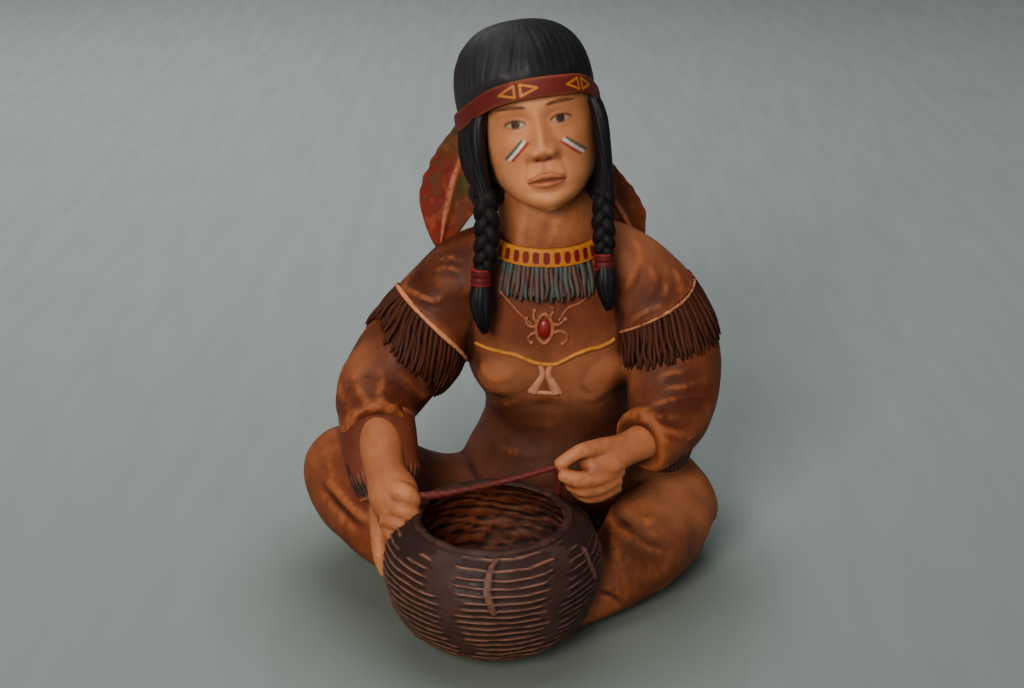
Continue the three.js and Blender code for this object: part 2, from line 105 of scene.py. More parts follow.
# The yoke's edge leans round the sleeve: its share of the sleeve is middle + lean * sin(angle) + tilt * cos(angle)
YOKE = {"lift": 2.0, "right": (0.405, 0.043, 0.003), "left": (0.333, -0.002, -0.045)}
# Length of the strands round the sleeve: full + lean * sin(angle), less a notch at one angle
SHOULDER_FRINGE = {"right": (31.0, -4.0, 13.0, -1.95), "left": (27.5, 8.0, 0.0, 0.0), "strands": 50}
# How far the fringe's paint is drawn out along each axis
FRINGE_STREAK = [1, 1, 0.2]
# Radius of the rolled edge of each yoke, and how far its paint has gone to the dress's brown
PIPING = {"right": (1.3, 0), "left": (0.85, 0.85)}
CUFF = {
    "right": [[-69, 2, 97, 20, 17], [-67, -10, 88, 20, 15], [-64, -20, 76, 18, 12], [-62, -26, 66, 14, 8]],
    "left": [[84, 2, 92, 18, 18], [85, 2, 82, 14, 14], [87, 3, 71, 9, 9]],
}
FOREARM = {
    "right": [[-69, -4, 98, 12, 11], [-66, -18, 92, 11.5, 10.5], [-63, -30, 83, 10.5, 9.5],
              [-58.5, -40, 76, 13, 11], [-55.5, -46, 70, 11.5, 9]],
    "left": [[76, -8, 92, 11, 10], [63, -19, 91, 9, 8.5], [52, -25, 89, 11, 8], [43, -28, 87, 10, 7]],
}
# How far each hand's skin is painted darker as shade, and the share of each cuff at which its strands begin
HAND_SHADE = {"right": 0.04, "left": 0.2}
CUFF_HANG = {"right": 0.55, "left": 0.3}
# Stations of a finger are [x, y, z, radius]
FINGERS = {
    "right": [
        [[-61, -43, 80, 6.0], [-52, -48, 79, 5.6], [-48.5, -47, 74, 5.0], [-53, -42, 71, 4.4]],
        [[-62, -46, 73, 6.0], [-52, -51, 71.5, 5.6], [-48.5, -50, 67.5, 5.0], [-53, -45, 65, 4.4]],
        [[-62, -48, 66.5, 5.8], [-54, -53, 65, 5.0], [-51, -52, 61, 4.6], [-54, -47, 59.5, 4.0]],
        [[-62, -49, 61, 5.0], [-56.5, -54, 58, 4.5], [-54, -53, 54.5, 4.2], [-55.5, -49, 53.5, 3.6]],
        [[-65, -42, 68, 6.0], [-65, -50, 58, 5.0], [-64.5, -57, 48, 3.8], [-63, -59.5, 40, 2.2]],
    ],
    "left": [
        [[58, -22, 92, 7.5], [48, -27, 95, 5.0], [37, -32, 95, 3.9], [27, -34, 89, 3.4]],
        [[57, -25, 84, 7.0], [47, -33, 81.5, 5.0], [37, -36.5, 81.5, 4.5], [29, -35.5, 83.5, 3.8]],
        [[56, -26, 79, 6.5], [47, -33, 75.5, 4.6], [39, -35.5, 75.5, 4.2], [33, -33.5, 77, 3.6]],
        [[56, -25, 74, 6.0], [48, -31, 70.5, 4.3], [41, -33, 70.5, 3.9], [36, -30, 72, 3.3]],
    ],
}

# The head has its own frame: the middle of the skull is the origin and the face looks to -Y
HEAD_CENTRE = np.array([15.5, 38, 253])
HEAD_ROLL = -9
HEAD_PITCH = -8
# Skull rings are [z, half width, front, back]
SKULL = [
    [45.5, 5, 6, 7],
    [41, 17, 20, 22],
    [30, 25, 28, 33],
    [17, 28.5, 31.5, 37],
    [4, 29.5, 32.5, 38],
    [-9, 29, 32.5, 36],
    [-20, 28, 32, 30],
    [-31, 25, 31, 22],
    [-40, 18, 29, 12],
    [-45.5, 8, 24, 2],
]
NECK = [[20.5, 44, 180, 27, 23], [21, 43, 196, 26, 22], [20, 45, 212, 26.5, 21.5], [17.5, 46, 232, 28, 20]]
CAP_CENTRE = [-4.5, 4, 12]
CAP_RADII = [36.5, 41, 38]
CAP_SQUARENESS = 0.8
# The headband's path is [degrees round from the face to the figure's left, radius, height]
HEAD_AXIS = np.array([-2.0, 5.0])
BAND_PATH = [[0, 42, 18], [25, 41, 17], [50, 37, 14.4], [70, 35, 9.5], [90, 35, 4.5], [110, 36.5, 0],
             [130, 37.5, -4], [155, 39.5, -7], [180, 40, -8], [205, 40, -7], [228, 40, -4.5], [250, 40, -1.5],
             [270, 40, 2], [295, 38.5, 6.5], [315, 39, 11.5], [335, 40.5, 16]]
BAND_HEIGHT = 10.0
BAND_THICK = 3.0
BAND_GIRTH = 40.0
# Pairs of triangles on the headband, in millimetres along it: how far the first one is turned, the pitch, the
# stretch that carries them, their points and bases from the middle of a pair, and their half height
BAND_FIGURES = {"turn": 5.5, "pitch": 34.0, "stretch": (-22, 45), "point": 9.4, "base": 1.5, "half": 2.9}
# Degrees from the face to the parting, depth of the locks' grooves, and how often a braid's strands cross
PARTING = -14
GROOVE_DEPTH = 0.09
BRAID_CROSSINGS = 3.4
MANE = {"right": 308, "left": 56, "bottom": -44.0}
BUNCH = {
    "right": [[0, 56, 226, 9, 9], [-6, 44, 219, 9, 8], [-12, 31, 215, 8, 7], [-13, 18, 216, 6, 6]],
    "left": [[38, 56, 230, 9, 9], [45, 44, 221, 9, 8], [49, 32, 216, 7, 7], [50, 20, 215, 6, 6]],
}
LOCK = {
    "right": [[-12, 22, 262, 3, 5], [-15, 19, 252, 4, 6], [-15, 17, 240, 4, 6.5], [-13.5, 16.5, 227, 4, 6],
              [-11.5, 15, 214, 5.5, 5.5]],
    "left": [[43.5, 22, 267, 3, 5], [46.5, 20, 258, 3.8, 6], [48.3, 19, 246, 4, 6.5], [50, 19, 231, 3.8, 6],
             [50, 20, 214, 5, 5.5]],
}
BRAID = {
    "right": [[-11.5, 15, 220, 5.5, 5.5], [-10.5, 12, 205, 6, 6], [-11, 10, 190, 5.8, 5.8],
              [-13, 9.5, 177, 4.4, 4.4]],
    "left": [[50, 19, 220, 4.8, 5], [49.5, 16, 207, 5.4, 5.4], [50, 14, 194, 5.4, 5.4], [50, 13, 184, 4.2, 4.2]],
}
TIE = {
    "right": [[-13.3, 9.5, 180, 5, 5], [-13.6, 9, 171.5, 5, 5]],
    "left": [[50, 13.5, 187, 4.9, 4.9], [50.5, 12.5, 179, 4.9, 4.9]],
}
TASSEL = {
    "right": [[-13.6, 9, 173, 4.4, 4.4], [-13.5, 7.5, 163, 6, 5.5], [-12.5, 7, 153, 4.6, 4.4],
              [-12, 7, 146, 1.8, 1.8]],
    "left": [[50.3, 12, 181, 4.3, 4.3], [51.3, 10, 173, 5.5, 5], [52, 9.3, 165, 4.2, 4.2],
             [52.5, 9, 158, 1.6, 1.6]],
}
FEATHER = {
    "right": [[-12, 42, 254, 6, 3], [-20, 47, 240, 10, 3.5], [-28, 54, 218, 15, 4], [-33, 58, 197, 15, 4],
              [-37, 60, 174, 7, 4]],
    "left": [[30, 54, 241, 5, 3], [43, 60, 225, 8, 3.5], [55, 65, 206, 11, 4], [65, 68, 189, 11.5, 4],
             [73, 70, 172, 6, 4]],
}

COLLAR_CENTRE = [20.5, 40, 186]
COLLAR_RADII = [27.5, 26]
COLLAR_HEIGHT = 9
COLLAR_FRINGE = {"drop": 20.0, "flare": 5.5, "strands": 38}
MEDALLION = {
    "x": 19.5,
    "z": 146.0,
    "radii": (4.4, 7.2),
    # Tendrils are lines across and up from the middle, each with a knob at its end
    "tendrils": [
        [[2.6, 6.4], [4.2, 8.6], [4.3, 11.2]],
        [[4.6, 2.4], [8.0, 2.4], [11.0, 5.2]],
        [[4.6, -2.2], [8.4, -1.4], [11.8, -3.4], [11.6, -7.0], [9.6, -8.4]],
        [[-3.8, 3.6], [-5.6, 6.2], [-5.2, 10.0]],
        [[-4.6, 1.2], [-6.8, 1.0], [-9.0, 2.4], [-9.4, 5.4]],
        [[-4.6, -2.2], [-7.2, -3.6], [-8.6, -6.4], [-6.8, -8.0]],
    ],
}
# Cords that hold the medallion, and the line across the chest: [across, height]
MEDALLION_CORDS = [
    [[-4, 164.5], [3, 157.5], [8, 152.5], [13, 148.5]],
    [[44.5, 164], [38, 159], [32, 157], [27, 150.5]],
]
CHEST_LINE = [[-17, 131.5], [-10, 130.5], [-3.5, 130.2], [4.3, 129.6], [10, 127.6], [15, 125.8], [20, 125.2],
              [25.5, 125.4], [28.7, 126.8], [35.4, 130.3], [43.2, 132.8], [48.3, 133.2], [54, 134.5], [57, 136]]

# The tepee's middle, its leg as [across from the middle, height], and its ground line
TEPEE = {"x": 20.3, "leg": [[2.8, 124.4], [1.5, 119.5], [3.6, 114], [6.3, 107.8]],
         "ground": [[11.4, 107.4], [20.3, 107.2], [29.2, 107.4]]}

BASKET_CENTRE = [-7.5, -53.5]
BASKET_OUTLINE = [[24, 0], [47.5, 17.5], [55.5, 44], [51, 61], [41, 69]]
BASKET_WALL = 5.0
BASKET_FLOOR = 8.0
BASKET_INSIDE = 0.86
ROW_PITCH = 3.5
WEAVE_PITCH = 5.2
# Rings of the basket's mesh and points round each, and the zones that the rings belong to
BASKET_RINGS = {"base": 11, "outer": 150, "lip": 12, "inner": 56, "floor": 19}
BASKET_SIDES = 300
WALL, LIP, INNER, BASE = range(4)
# Smooth figures and raised splints of the wall are [height, degrees from the front, half width in degrees]
WIDE_FIGURE = [[71, -31, 9], [60, -29, 9], [53, -25, 9.5], [46, -21, 6], [38, -24, 4], [30, -19, 6], [18, -13, 5]]
SLIM_FIGURE = [[71, 47, 6], [60, 42, 7], [53, 36, 7], [44, 33, 5.5], [34, 34, 5.5], [22, 35, 4.5]]
SPLINT = [[68, 3.5, 2], [66, 0.5, 2], [62, -1.8, 2.1], [56, -2.2, 2.1], [45, 1.5, 1.6]]
STRAND = [[-52, -46, 76, 2.4, 2.4], [-30, -43, 77, 2.4, 2.4], [0, -37, 81, 2.4, 2.4], [27, -32, 87, 2.4, 2.4]]
STRAND_TAIL = [[26, -32, 87, 2.4, 2.4], [27, -30, 78, 2.6, 2.6], [26, -27, 66, 3, 3]]

# Folds are drawn in the picture: pixels along each line, half width in pixels, height in millimetres.
# They are grouped by the part of the dress that they lie on.
DRAWN_FOLDS = {
    "right sleeve": [
        [[(413, 268), (409, 276), (405, 286)], 3.5, 0.9],
        [[(402, 286), (420, 296), (434, 301), (442, 297)], 2.6, 1.1],
        [[(440, 262), (452, 258), (463, 262)], 2.2, 0.6],
        [[(438, 270), (450, 268), (462, 272)], 2.2, 0.6],
        [[(364, 362), (357, 376), (360, 392), (374, 408)], 4.6, 0.9],
        [[(342, 376), (340, 392), (344, 404)], 4.4, 0.8],
        [[(374, 366), (382, 380), (380, 396), (388, 410)], 4.0, 0.7],
        [[(398, 372), (408, 384), (412, 396)], 4.0, 0.6],
        [[(388, 412), (397, 405), (404, 401)], 3.2, 0.5],
        [[(410, 388), (424, 396), (438, 394)], 3.6, 0.5],
    ],
    "left sleeve": [
        [[(632, 236), (640, 252), (641, 268)], 3.6, 0.9],
        [[(638, 262), (633, 276), (627, 290)], 3.0, 0.8],
        [[(655, 262), (661, 280), (657, 298)], 3.2, -0.9],
        [[(672, 268), (678, 280), (681, 294)], 3.0, 0.9],
        [[(628, 322), (645, 312), (664, 304)], 2.6, 0.6],
        [[(642, 410), (656, 404), (671, 398), (698, 394)], 4.2, 1.0],
        [[(650, 396), (664, 389), (680, 387), (702, 382)], 3.6, 0.9],
        [[(632, 424), (644, 418), (660, 416), (680, 420)], 3.6, 0.8],
        [[(656, 380), (668, 374), (684, 372)], 3.4, 0.8],
        [[(648, 422), (667, 430), (686, 436)], 3.4, 0.6],
    ],
    "torso": [
        [[(486, 372), (496, 380), (506, 378), (514, 370)], 2.8, 0.9],
        [[(482, 360), (485, 372), (491, 382)], 2.4, 0.9],
        [[(500, 402), (510, 403), (522, 398)], 3.0, 0.7],
        [[(524, 400), (534, 398), (546, 397), (560, 398), (572, 400)], 3.0, 0.5],
        [[(526, 406), (546, 404), (568, 407)], 3.6, -0.4],
        [[(488, 390), (494, 402), (502, 412)], 2.6, 0.8],
        [[(578, 396), (592, 398), (606, 392)], 2.6, 0.9],
        [[(512, 420), (536, 424), (562, 420)], 4.5, 0.35],
        [[(500, 448), (530, 454), (560, 450)], 5.0, 0.45],
    ],
    "left thigh, left shin": [
        [[(664, 484), (680, 476), (696, 482), (706, 496)], 5.0, 0.8],
        [[(639, 518), (648, 521), (656, 519)], 3.0, 0.9],
        [[(606, 504), (624, 520), (640, 532)], 5.0, -1.6],
        [[(640, 532), (652, 541), (668, 546)], 4.0, -0.9],
        [[(599, 592), (610, 595), (622, 603)], 2.0, -1.3],
        [[(604, 512), (604, 540), (608, 566)], 4.0, -1.1],
    ],
    "right thigh, right shin": [
        [[(318, 470), (334, 489), (356, 512), (371, 522)], 3.4, 1.3],
        [[(322, 484), (340, 506), (362, 528)], 3.0, -0.9],
        [[(328, 452), (330, 470), (338, 486)], 4.0, 0.8],
    ],
}

# Finishes, as display colours and shares: the paint of the hollows and of painted shade, and of the ridges, how
# much of the wash lies in hollows, how far fine ridges are rubbed and broad ones crowned, the stain and painted
# shade of sheltered places, the least and most roughness, the stretch of the brush's streaks, the strength of the
# grain, the shine, and the record's slot
PLAIN_FINISH = dict(wash=0.8, rub=0.5, crown=0.4, stain_and_shade=0.5, rough=(0.5, 0.7), streak=(1, 1, 1), grain=0.25,
                    shine=0.28, slot="trim_paint")
FINISHES = {
    "buckskin_paint": dict(slot="painted_clay", recess_and_shade=(40, 14, 6), ridge=(168, 92, 48), wash=0.65, rub=0.4,
        stain_and_shade=0.85, streak=(1, 1, 0.35), shine=0.18),
    "fringe_paint": dict(recess_and_shade=(10, 4, 3), ridge=(78, 34, 12), wash=0.9, rub=0.35, stain_and_shade=0.9,
        streak=(1, 1, 0.2), shine=0.16),
    "piping_paint": dict(recess_and_shade=(96, 40, 20), ridge=(214, 140, 96), wash=0.5, stain_and_shade=0.3),
    "skin_paint": dict(slot="skin_paint", recess_and_shade=(96, 40, 16), ridge=(206, 134, 84), wash=0.55, rub=0.2,
        crown=0.3, stain_and_shade=0.45, rough=(0.5, 0.64), grain=0.12),
    "hair_paint": dict(slot="hair_paint", recess_and_shade=(3, 2, 3), ridge=(60, 54, 64), rub=0.3, crown=0.2,
        rough=(0.46, 0.6), streak=(1, 1, 0.12), shine=0.2),
    "braid_paint": dict(slot="hair_paint", recess_and_shade=(3, 2, 3), ridge=(40, 32, 29), rub=0.25, crown=0.1,
        rough=(0.55, 0.7), streak=(1, 1, 0.12), shine=0.16),
    "tie_paint": dict(recess_and_shade=(48, 6, 8), ridge=(176, 36, 40), wash=0.7, rub=0.3),
    "band_paint": dict(recess_and_shade=(30, 5, 5), ridge=(170, 84, 60), wash=0.6, rub=0.3),
    "feather_paint": dict(slot="feather_paint", recess_and_shade=(60, 16, 8), ridge=(214, 128, 92), wash=0.7, rub=0.6,
        streak=(1, 1, 0.6)),
    "collar_paint": dict(recess_and_shade=(84, 34, 8), ridge=(240, 176, 76), wash=0.6, rub=0.35),
    "grey_fringe_paint": dict(recess_and_shade=(12, 9, 8), ridge=(100, 100, 90), wash=0.9, rub=0.22, crown=0.15,
        stain_and_shade=0.8, streak=(1, 1, 0.2)),
    "jewel_paint": dict(recess_and_shade=(50, 6, 6), ridge=(190, 60, 40), wash=0.6, rub=0.3, rough=(0.3, 0.45),
        shine=0.45),
    "frame_paint": dict(recess_and_shade=(60, 20, 10), ridge=(176, 104, 70), wash=0.7, rub=0.6),
    "line_paint": dict(recess_and_shade=(96, 50, 14), ridge=(206, 136, 54), wash=0.5, rub=0.4),
    "tepee_paint": dict(recess_and_shade=(70, 26, 14), ridge=(206, 140, 106), wash=0.6, rub=0.4),
    "cuff_paint": dict(slot="painted_clay", recess_and_shade=(20, 9, 7), ridge=(170, 98, 60), wash=0.9, rub=0.45),
    "basket_paint": dict(slot="basket_paint", recess_and_shade=(18, 8, 5), ridge=(128, 80, 60), wash=0.75, rub=0.45,
        crown=0.12, stain_and_shade=0.8),
    "strand_paint": dict(slot="basket_paint", recess_and_shade=(34, 10, 8), ridge=(150, 66, 52), rub=0.4),
}
# Brush marks: features a metre of the soft patches, the strokes and the specks
PATCH_SCALE, STROKE_SCALE, SPECK_SCALE = 38.0, 300.0, 1500.0
DARKER, LIGHTER = (0.8, 0.76, 0.72, 1), (1.16, 1.16, 1.14, 1)
# Depths in millimetres over which the wash and the wear come in
FINE_HOLLOW, BROAD_HOLLOW = (0.015, 0.13), (0.04, 0.8)
FINE_RIDGE, BROAD_RIDGE = (-0.015, -0.12), (-0.05, -0.9)
# Reach of the ambient occlusion that paints stain and shade into sheltered places, in metres
SHADE_REACH = 0.025
GRAIN_HEIGHT = 0.0004
# Display colours that vary or shade the paints of the panel
SHADES = {
    "burnt_buckskin": (62, 24, 10), "shaded_buckskin": (56, 22, 8), "fringe_red": (54, 19, 10),
    "fringe_green": (42, 32, 18), "face_front": (224, 152, 100), "cheek_glow": (196, 112, 76),
    "eye_socket_shade": (140, 80, 48), "mouth_line": (70, 26, 18), "eyeball": (168, 132, 100), "iris": (44, 22, 12),
    "lash": (34, 18, 12), "lower_lid": (110, 58, 36), "brow": (44, 24, 16), "nostril": (84, 36, 22),
    "neck_shade": (112, 56, 28), "shaded_skin": (112, 46, 14), "hair_sheen": (50, 48, 50),
    "band_edge": (120, 60, 26), "feather_olive": (70, 58, 30), "feather_chestnut": (96, 52, 34),
    "feather_green": (50, 70, 38), "feather_tip": (132, 34, 14), "feather_spot": (60, 20, 12),
    "feather_rust": (132, 56, 30), "feather_moss": (70, 64, 36), "feather_light": (140, 74, 44),
    "collar_fringe_rust": (84, 40, 30), "collar_fringe_slate": (58, 76, 78), "basket_front": (46, 22, 15),
    "basket_figure": (60, 36, 30), "basket_splint": (84, 56, 48), "basket_inside": (106, 48, 20),
    "basket_inside_shade": (52, 24, 14), "floor_lit_far_left": (245, 248, 250), "floor_lit_far_right": (212, 220, 220),
    "floor_contact_shadow": (84, 90, 76), "floor_streak": (96, 104, 100),
}
# Seeds of the random draws and of the soft noise
LIMB_FOLD_SEED = 12
SHOULDER_SEED = {"right": 16, "left": 15}
COLLAR_SEED = 17
FEATHER_SEED = {"right": 3, "left": 8}
HAIR_SEED = {"cap": 4, "mane": 6}
NOISE = {"dress": 9, "buckskin": 77, "fringe": 21, "fringe_green": 22, "collar": 31, "cuff": 41, "feather": 51}

NO_FANS = np.zeros((0, 3), int)
Shape = namedtuple("Shape", "points quads fans", defaults=[NO_FANS])


# Numbers

def unit(vectors):
    """Vectors scaled to length one"""
    return vectors / np.maximum(np.linalg.norm(vectors, axis=-1, keepdims=True), 1e-12)


def dots(first, second):
    """Dot product of each pair of rows"""
    return np.einsum("ij,ij->i", first, second)


def wrapped(angle):
    """The same angle between minus and plus half a turn"""
    return np.mod(angle + np.pi, 2 * np.pi) - np.pi


def bell(value, spread):
    """Bell curve of height one: the exponential of minus half the squared value over its spread"""
    return np.exp(-0.5 * (value / spread) ** 2)


def ramp(value, low, high):
    """Smooth step from 0 at low to 1 at high"""
    share = np.clip((value - low) / (high - low), 0, 1)
    return share * share * (3 - 2 * share)


def mixed(first, second, share):
    """Blend of two values or colours by a share for each point. The second may be the name of a shade."""
    second = paint_of(second) if isinstance(second, str) else np.asarray(second)
    share = np.asarray(share, float)
    if second.ndim and second.shape[-1] == 3:
        share = share[..., None]
    return np.asarray(first) * (1 - share) + second * share


def curve(value, knots, heights):
    """Smooth curve through knots and heights: a cubic on each span with slopes of its neighbours' chord"""
    knots, heights = np.asarray(knots, float), np.asarray(heights, float)
    slopes = np.gradient(heights, knots)
    value = np.clip(value, knots[0], knots[-1])
    span = np.clip(np.searchsorted(knots, value, side="right") - 1, 0, len(knots) - 2)
    width = knots[span + 1] - knots[span]
    u = (value - knots[span]) / width
    rise = (2 * u ** 3 - 3 * u ** 2 + 1) * heights[span] + (3 * u ** 2 - 2 * u ** 3) * heights[span + 1]
    lean = (u ** 3 - 2 * u ** 2 + u) * slopes[span] + (u ** 3 - u ** 2) * slopes[span + 1]
    return rise + lean * width


def spline(points, share):
    """Curve through points: on each span a cubic whose end slopes are half the chord of the neighbours"""
    points, share = np.asarray(points, float), np.asarray(share, float)
    knots = np.vstack([2 * points[0] - points[1], points, 2 * points[-1] - points[-2]])
    place = np.clip(share, 0, 1) * (len(points) - 1)
    span = np.minimum(place.astype(int), len(points) - 2)
    u = (place - span)[..., None]
    a, b, c, d = (knots[span + step] for step in range(4))
    bend = a - 2.5 * b + 2 * c - d / 2
    return b + u * (c - a) / 2 + u ** 2 * bend + u ** 3 * (1.5 * (b - c) + (d - a) / 2)


def waves(points, seed, scale):
    """Soft noise between about -1 and 1: a sum of sines in random directions, for points in millimetres"""
    rng, count = np.random.default_rng(seed), 24
    ways = rng.normal(size=(count, 3)) * 2 * np.pi / scale
    phases = rng.uniform(0, 2 * np.pi, count)
    return np.sin(points @ ways.T + phases).sum(-1) * (2 / count) ** 0.5 / 1.4


def colour(red, green, blue):
    """Linear colour from 0 to 255 display values"""
    value = np.array([red, green, blue]) / 255
    return np.where(value <= 0.04045, value / 12.92, ((value + 0.055) / 1.055) ** 2.4)


def paint_of(name):
    """Linear colour of a named shade"""
    return colour(*SHADES[name])


def shares(count):
    """Even steps from 0 to 1"""
    return np.linspace(0, 1, count)


def angles_round(count, start=0.0):
    """Angles in even steps once round from a start"""
    return np.linspace(start, start + 2 * np.pi, count, endpoint=False)


# Paint

def coat(shade, points):
    """One paint on every point"""
    return np.array(shade) + 0 * points


def layered(paint, layers):
    """The paint with each layer, [paint, share of it], laid over it in turn"""
    for shade, share in layers:
        paint = mixed(paint, shade, share)
    return paint


def closed_paint(grid):
    """Paint of a skin's grid as a list, with the paint of the two points that close its ends"""
    paint = grid.reshape(-1, 3)
    return np.vstack([paint, paint[0], paint[-1]])


# Surfaces

def track(stations, share, wide_axis):
    """Middle, half sizes, direction and two cross directions at shares of a limb's length"""
    stations, share = np.asarray(stations, float), np.asarray(share, float)
    middle = spline(stations[:, :3], share)
    size = spline(stations[:, 3:], share)
    ahead = spline(stations[:, :3], np.minimum(share + 1e-3, 1))
    along = unit(ahead - spline(stations[:, :3], np.maximum(share - 1e-3, 0)))
    wide = unit(wide_axis - along * (along @ wide_axis)[..., None])
    return middle, size, along, wide, np.cross(along, wide)


def limb_point(stations, wide_axis, share, angle, lift=0.0):
    """Point of a limb's skin: an ellipse of the two half sizes, turned by an angle about the middle line"""
    middle, size, _, wide, thick = track(stations, share, wide_axis)
    across = (size[..., 0] + lift) * np.cos(angle)
    through = (size[..., -1] + lift) * np.sin(angle)
    return middle + wide * across[..., None] + thick * through[..., None]


def limb(stations, wide_axis=X, sides=64, rows=72, end=None, rounded=0, lift=0.0):
    """Limb as a grid of skin points. It can end early, at a share that varies with the angle, and its end can
    be rounded by rings that shrink as a quarter circle."""
    angle = angles_round(sides)[None]
    share = shares(rows)[:, None] * (end(angle) if end else 1.0)
    raised = lift(share, angle) if callable(lift) else lift
    grid = limb_point(stations, wide_axis, share + 0 * angle, angle, raised)
    if rounded:
        tip, size, along, _, _ = track(stations, np.array(1.0), wide_axis)
        turn = np.linspace(0, np.pi / 2, rounded + 1)[1:, None, None]
        cap = tip + (grid[-1] - tip) * np.cos(turn) + along * 0.8 * size[-1] * np.sin(turn)
        grid = np.concatenate([grid, cap[:-1]])
    return skin(grid)


def ball(place, radii, sides=48):
    """Ball scaled to three radii: rings of latitude"""
    down = np.linspace(0, np.pi, sides // 2 + 2)[1:-1, None]
    turn = angles_round(sides)[None]
    rings = [np.sin(down) * np.cos(turn), np.sin(down) * np.sin(turn), np.cos(down) + 0 * turn]
    return skin(np.asarray(place) + np.stack(rings, -1) * np.asarray(radii))


def skin(grid):
    """Closed skin of a grid whose columns meet: quads between its rows and a fan over each end"""
    rows, sides = grid.shape[:2]
    here = np.arange(rows * sides).reshape(rows, sides)
    beside = np.roll(here, -1, axis=1)
    quads = np.stack([here[:-1], beside[:-1], beside[1:], here[1:]], -1).reshape(-1, 4)
    hub = np.full(sides, rows * sides)
    fans = np.vstack([np.stack([beside[0], here[0], hub], -1), np.stack([here[-1], beside[-1], hub + 1], -1)])
    points = np.vstack([grid.reshape(-1, 3), grid[0].mean(0), grid[-1].mean(0)])
    return outward(Shape(points, quads, fans))


def hoop(grid):
    """Skin of a grid that closes on itself both ways, as a ring does"""
    rows, sides = grid.shape[:2]
    here = np.arange(rows * sides).reshape(rows, sides)
    beside, after = np.roll(here, -1, axis=1), np.roll(here, -1, axis=0)
    both = np.roll(after, -1, axis=1)
    quads = np.stack([here, beside, both, after], -1).reshape(-1, 4)
    return outward(Shape(grid.reshape(-1, 3), quads))


def triangles_of(shape):
    """All faces as triangles"""
    return np.vstack([shape.quads[:, [0, 1, 2]], shape.quads[:, [0, 2, 3]], shape.fans]).astype(int)


def outward(shape):
    """The shape with its faces turned out, by the sign of its volume"""
    a, b, c = (shape.points[triangles_of(shape)[:, k]] for k in range(3))
    if np.einsum("ij,ij->", a, np.cross(b, c)) >= 0:
        return shape
    return Shape(shape.points, shape.quads[:, ::-1], shape.fans[:, ::-1])


def joined(shapes):
    """Several shapes as one list of points and faces"""
    starts = np.cumsum([0] + [len(shape.points) for shape in shapes])
    quads = np.vstack([shape.quads + start for shape, start in zip(shapes, starts)])
    fans = np.vstack([shape.fans + start for shape, start in zip(shapes, starts)])
    return Shape(np.vstack([shape.points for shape in shapes]), quads, fans)


def moved(shape, points):
    """The same faces on other points"""
    return Shape(points, shape.quads, shape.fans)


def edges_of(shape):
    """Each edge once, as pairs of point numbers"""
    pairs = [shape.quads[:, [k, (k + 1) % 4]] for k in range(4)] + [shape.fans[:, [k, (k + 1) % 3]] for k in range(3)]
    pairs = np.sort(np.vstack(pairs), axis=1).astype(np.int64)
    codes = np.unique(pairs[:, 0] * len(shape.points) + pairs[:, 1])
    return np.stack([codes // len(shape.points), codes % len(shape.points)], 1)


def neighbour_mean(values, edges):
    """Mean of each point's neighbours, for one column of values or several"""
    size = len(values)
    count = np.maximum(np.bincount(edges.ravel(), minlength=size), 1)
    columns = values.reshape(size, -1)
    total = [np.bincount(edges[:, 0], column[edges[:, 1]], size) + np.bincount(edges[:, 1], column[edges[:, 0]], size)
             for column in columns.T]
    return (np.stack(total, 1) / count[:, None]).reshape(values.shape)


def smoothed(values, edges, rounds):
    """Each round moves every value half way to the mean of its neighbours"""
    for _ in range(rounds):
        values = values + 0.5 * (neighbour_mean(values, edges) - values)
    return values


def normals_of(shape):
    """Directions out of the surface: the faces' areas summed at each point"""
    faces = triangles_of(shape)
    a, b, c = (shape.points[faces[:, k]] for k in range(3))
    areas = np.cross(b - a, c - a)
    total = [sum(np.bincount(faces[:, k], areas[:, axis], len(shape.points)) for k in range(3)) for axis in range(3)]
    return unit(np.stack(total, 1))


def hollows_of(shape, edges, normals, rounds):
    """How far each point lies below its smoothed place, in millimetres: above 0 in a groove, below on a ridge"""
    gap = smoothed(shape.points, edges, rounds) - shape.points
    return dots(gap, normals)


def raised(shape, height):
    """The shape with each point moved out along its normal by a height"""
    return moved(shape, shape.points + normals_of(shape) * np.asarray(height)[:, None])


def mesh_of(name, shape):
    """Mesh of a shape's points, quads and triangles"""
    mesh = bpy.data.meshes.new(name)
    mesh.from_pydata(shape.points.tolist(), [], shape.quads.tolist() + shape.fans.tolist())
    return mesh


def placed(name, data):
    """New object of a mesh, lamp or camera in the scene"""
    made = bpy.data.objects.new(name, data)
    bpy.context.scene.collection.objects.link(made)
    return made


def remeshed(shape, voxel):
    """One even skin of quads round overlapping shapes: they are cut into voxels and skinned again"""
    mesh = mesh_of("casting", shape)
    casting = placed("casting", mesh)
    remesh = casting.modifiers.new("voxels", "REMESH")
    remesh.mode = "VOXEL"
    remesh.voxel_size = voxel
    remesh.adaptivity = 0.0
    cast = casting.evaluated_get(bpy.context.evaluated_depsgraph_get()).to_mesh()
    points = np.empty(len(cast.vertices) * 3)
    cast.vertices.foreach_get("co", points)
    quads = np.empty(len(cast.loops), int)
    cast.loops.foreach_get("vertex_index", quads)
    bpy.data.objects.remove(casting)
    bpy.data.meshes.remove(mesh)
    return outward(Shape(points.reshape(-1, 3), quads.reshape(-1, 4)))


# Places

def turned(pitch, roll=0.0):
    """Matrix that rolls about Y and then pitches about X, in degrees"""
    p, r = math.radians(pitch), math.radians(roll)
    about_x = np.array([[1, 0, 0], [0, math.cos(p), -math.sin(p)], [0, math.sin(p), math.cos(p)]])
    about_y = np.array([[math.cos(r), 0, math.sin(r)], [0, 1, 0], [-math.sin(r), 0, math.cos(r)]])
    return about_x @ about_y


HEAD_TURN = turned(HEAD_PITCH, HEAD_ROLL)
# Painted cheek stripes: direction, distance between their middles, half length, and their middle from the nose
STRIPES = {"lean": (math.cos(math.radians(43)), math.sin(math.radians(43))), "pitch": 1.5, "half": 6.6,
           "right": (12.6, -12.4), "left": (16.0, -14.2)}


def on_head(points):
    """Points of the head's frame in the table's frame"""
    return points @ HEAD_TURN.T + HEAD_CENTRE


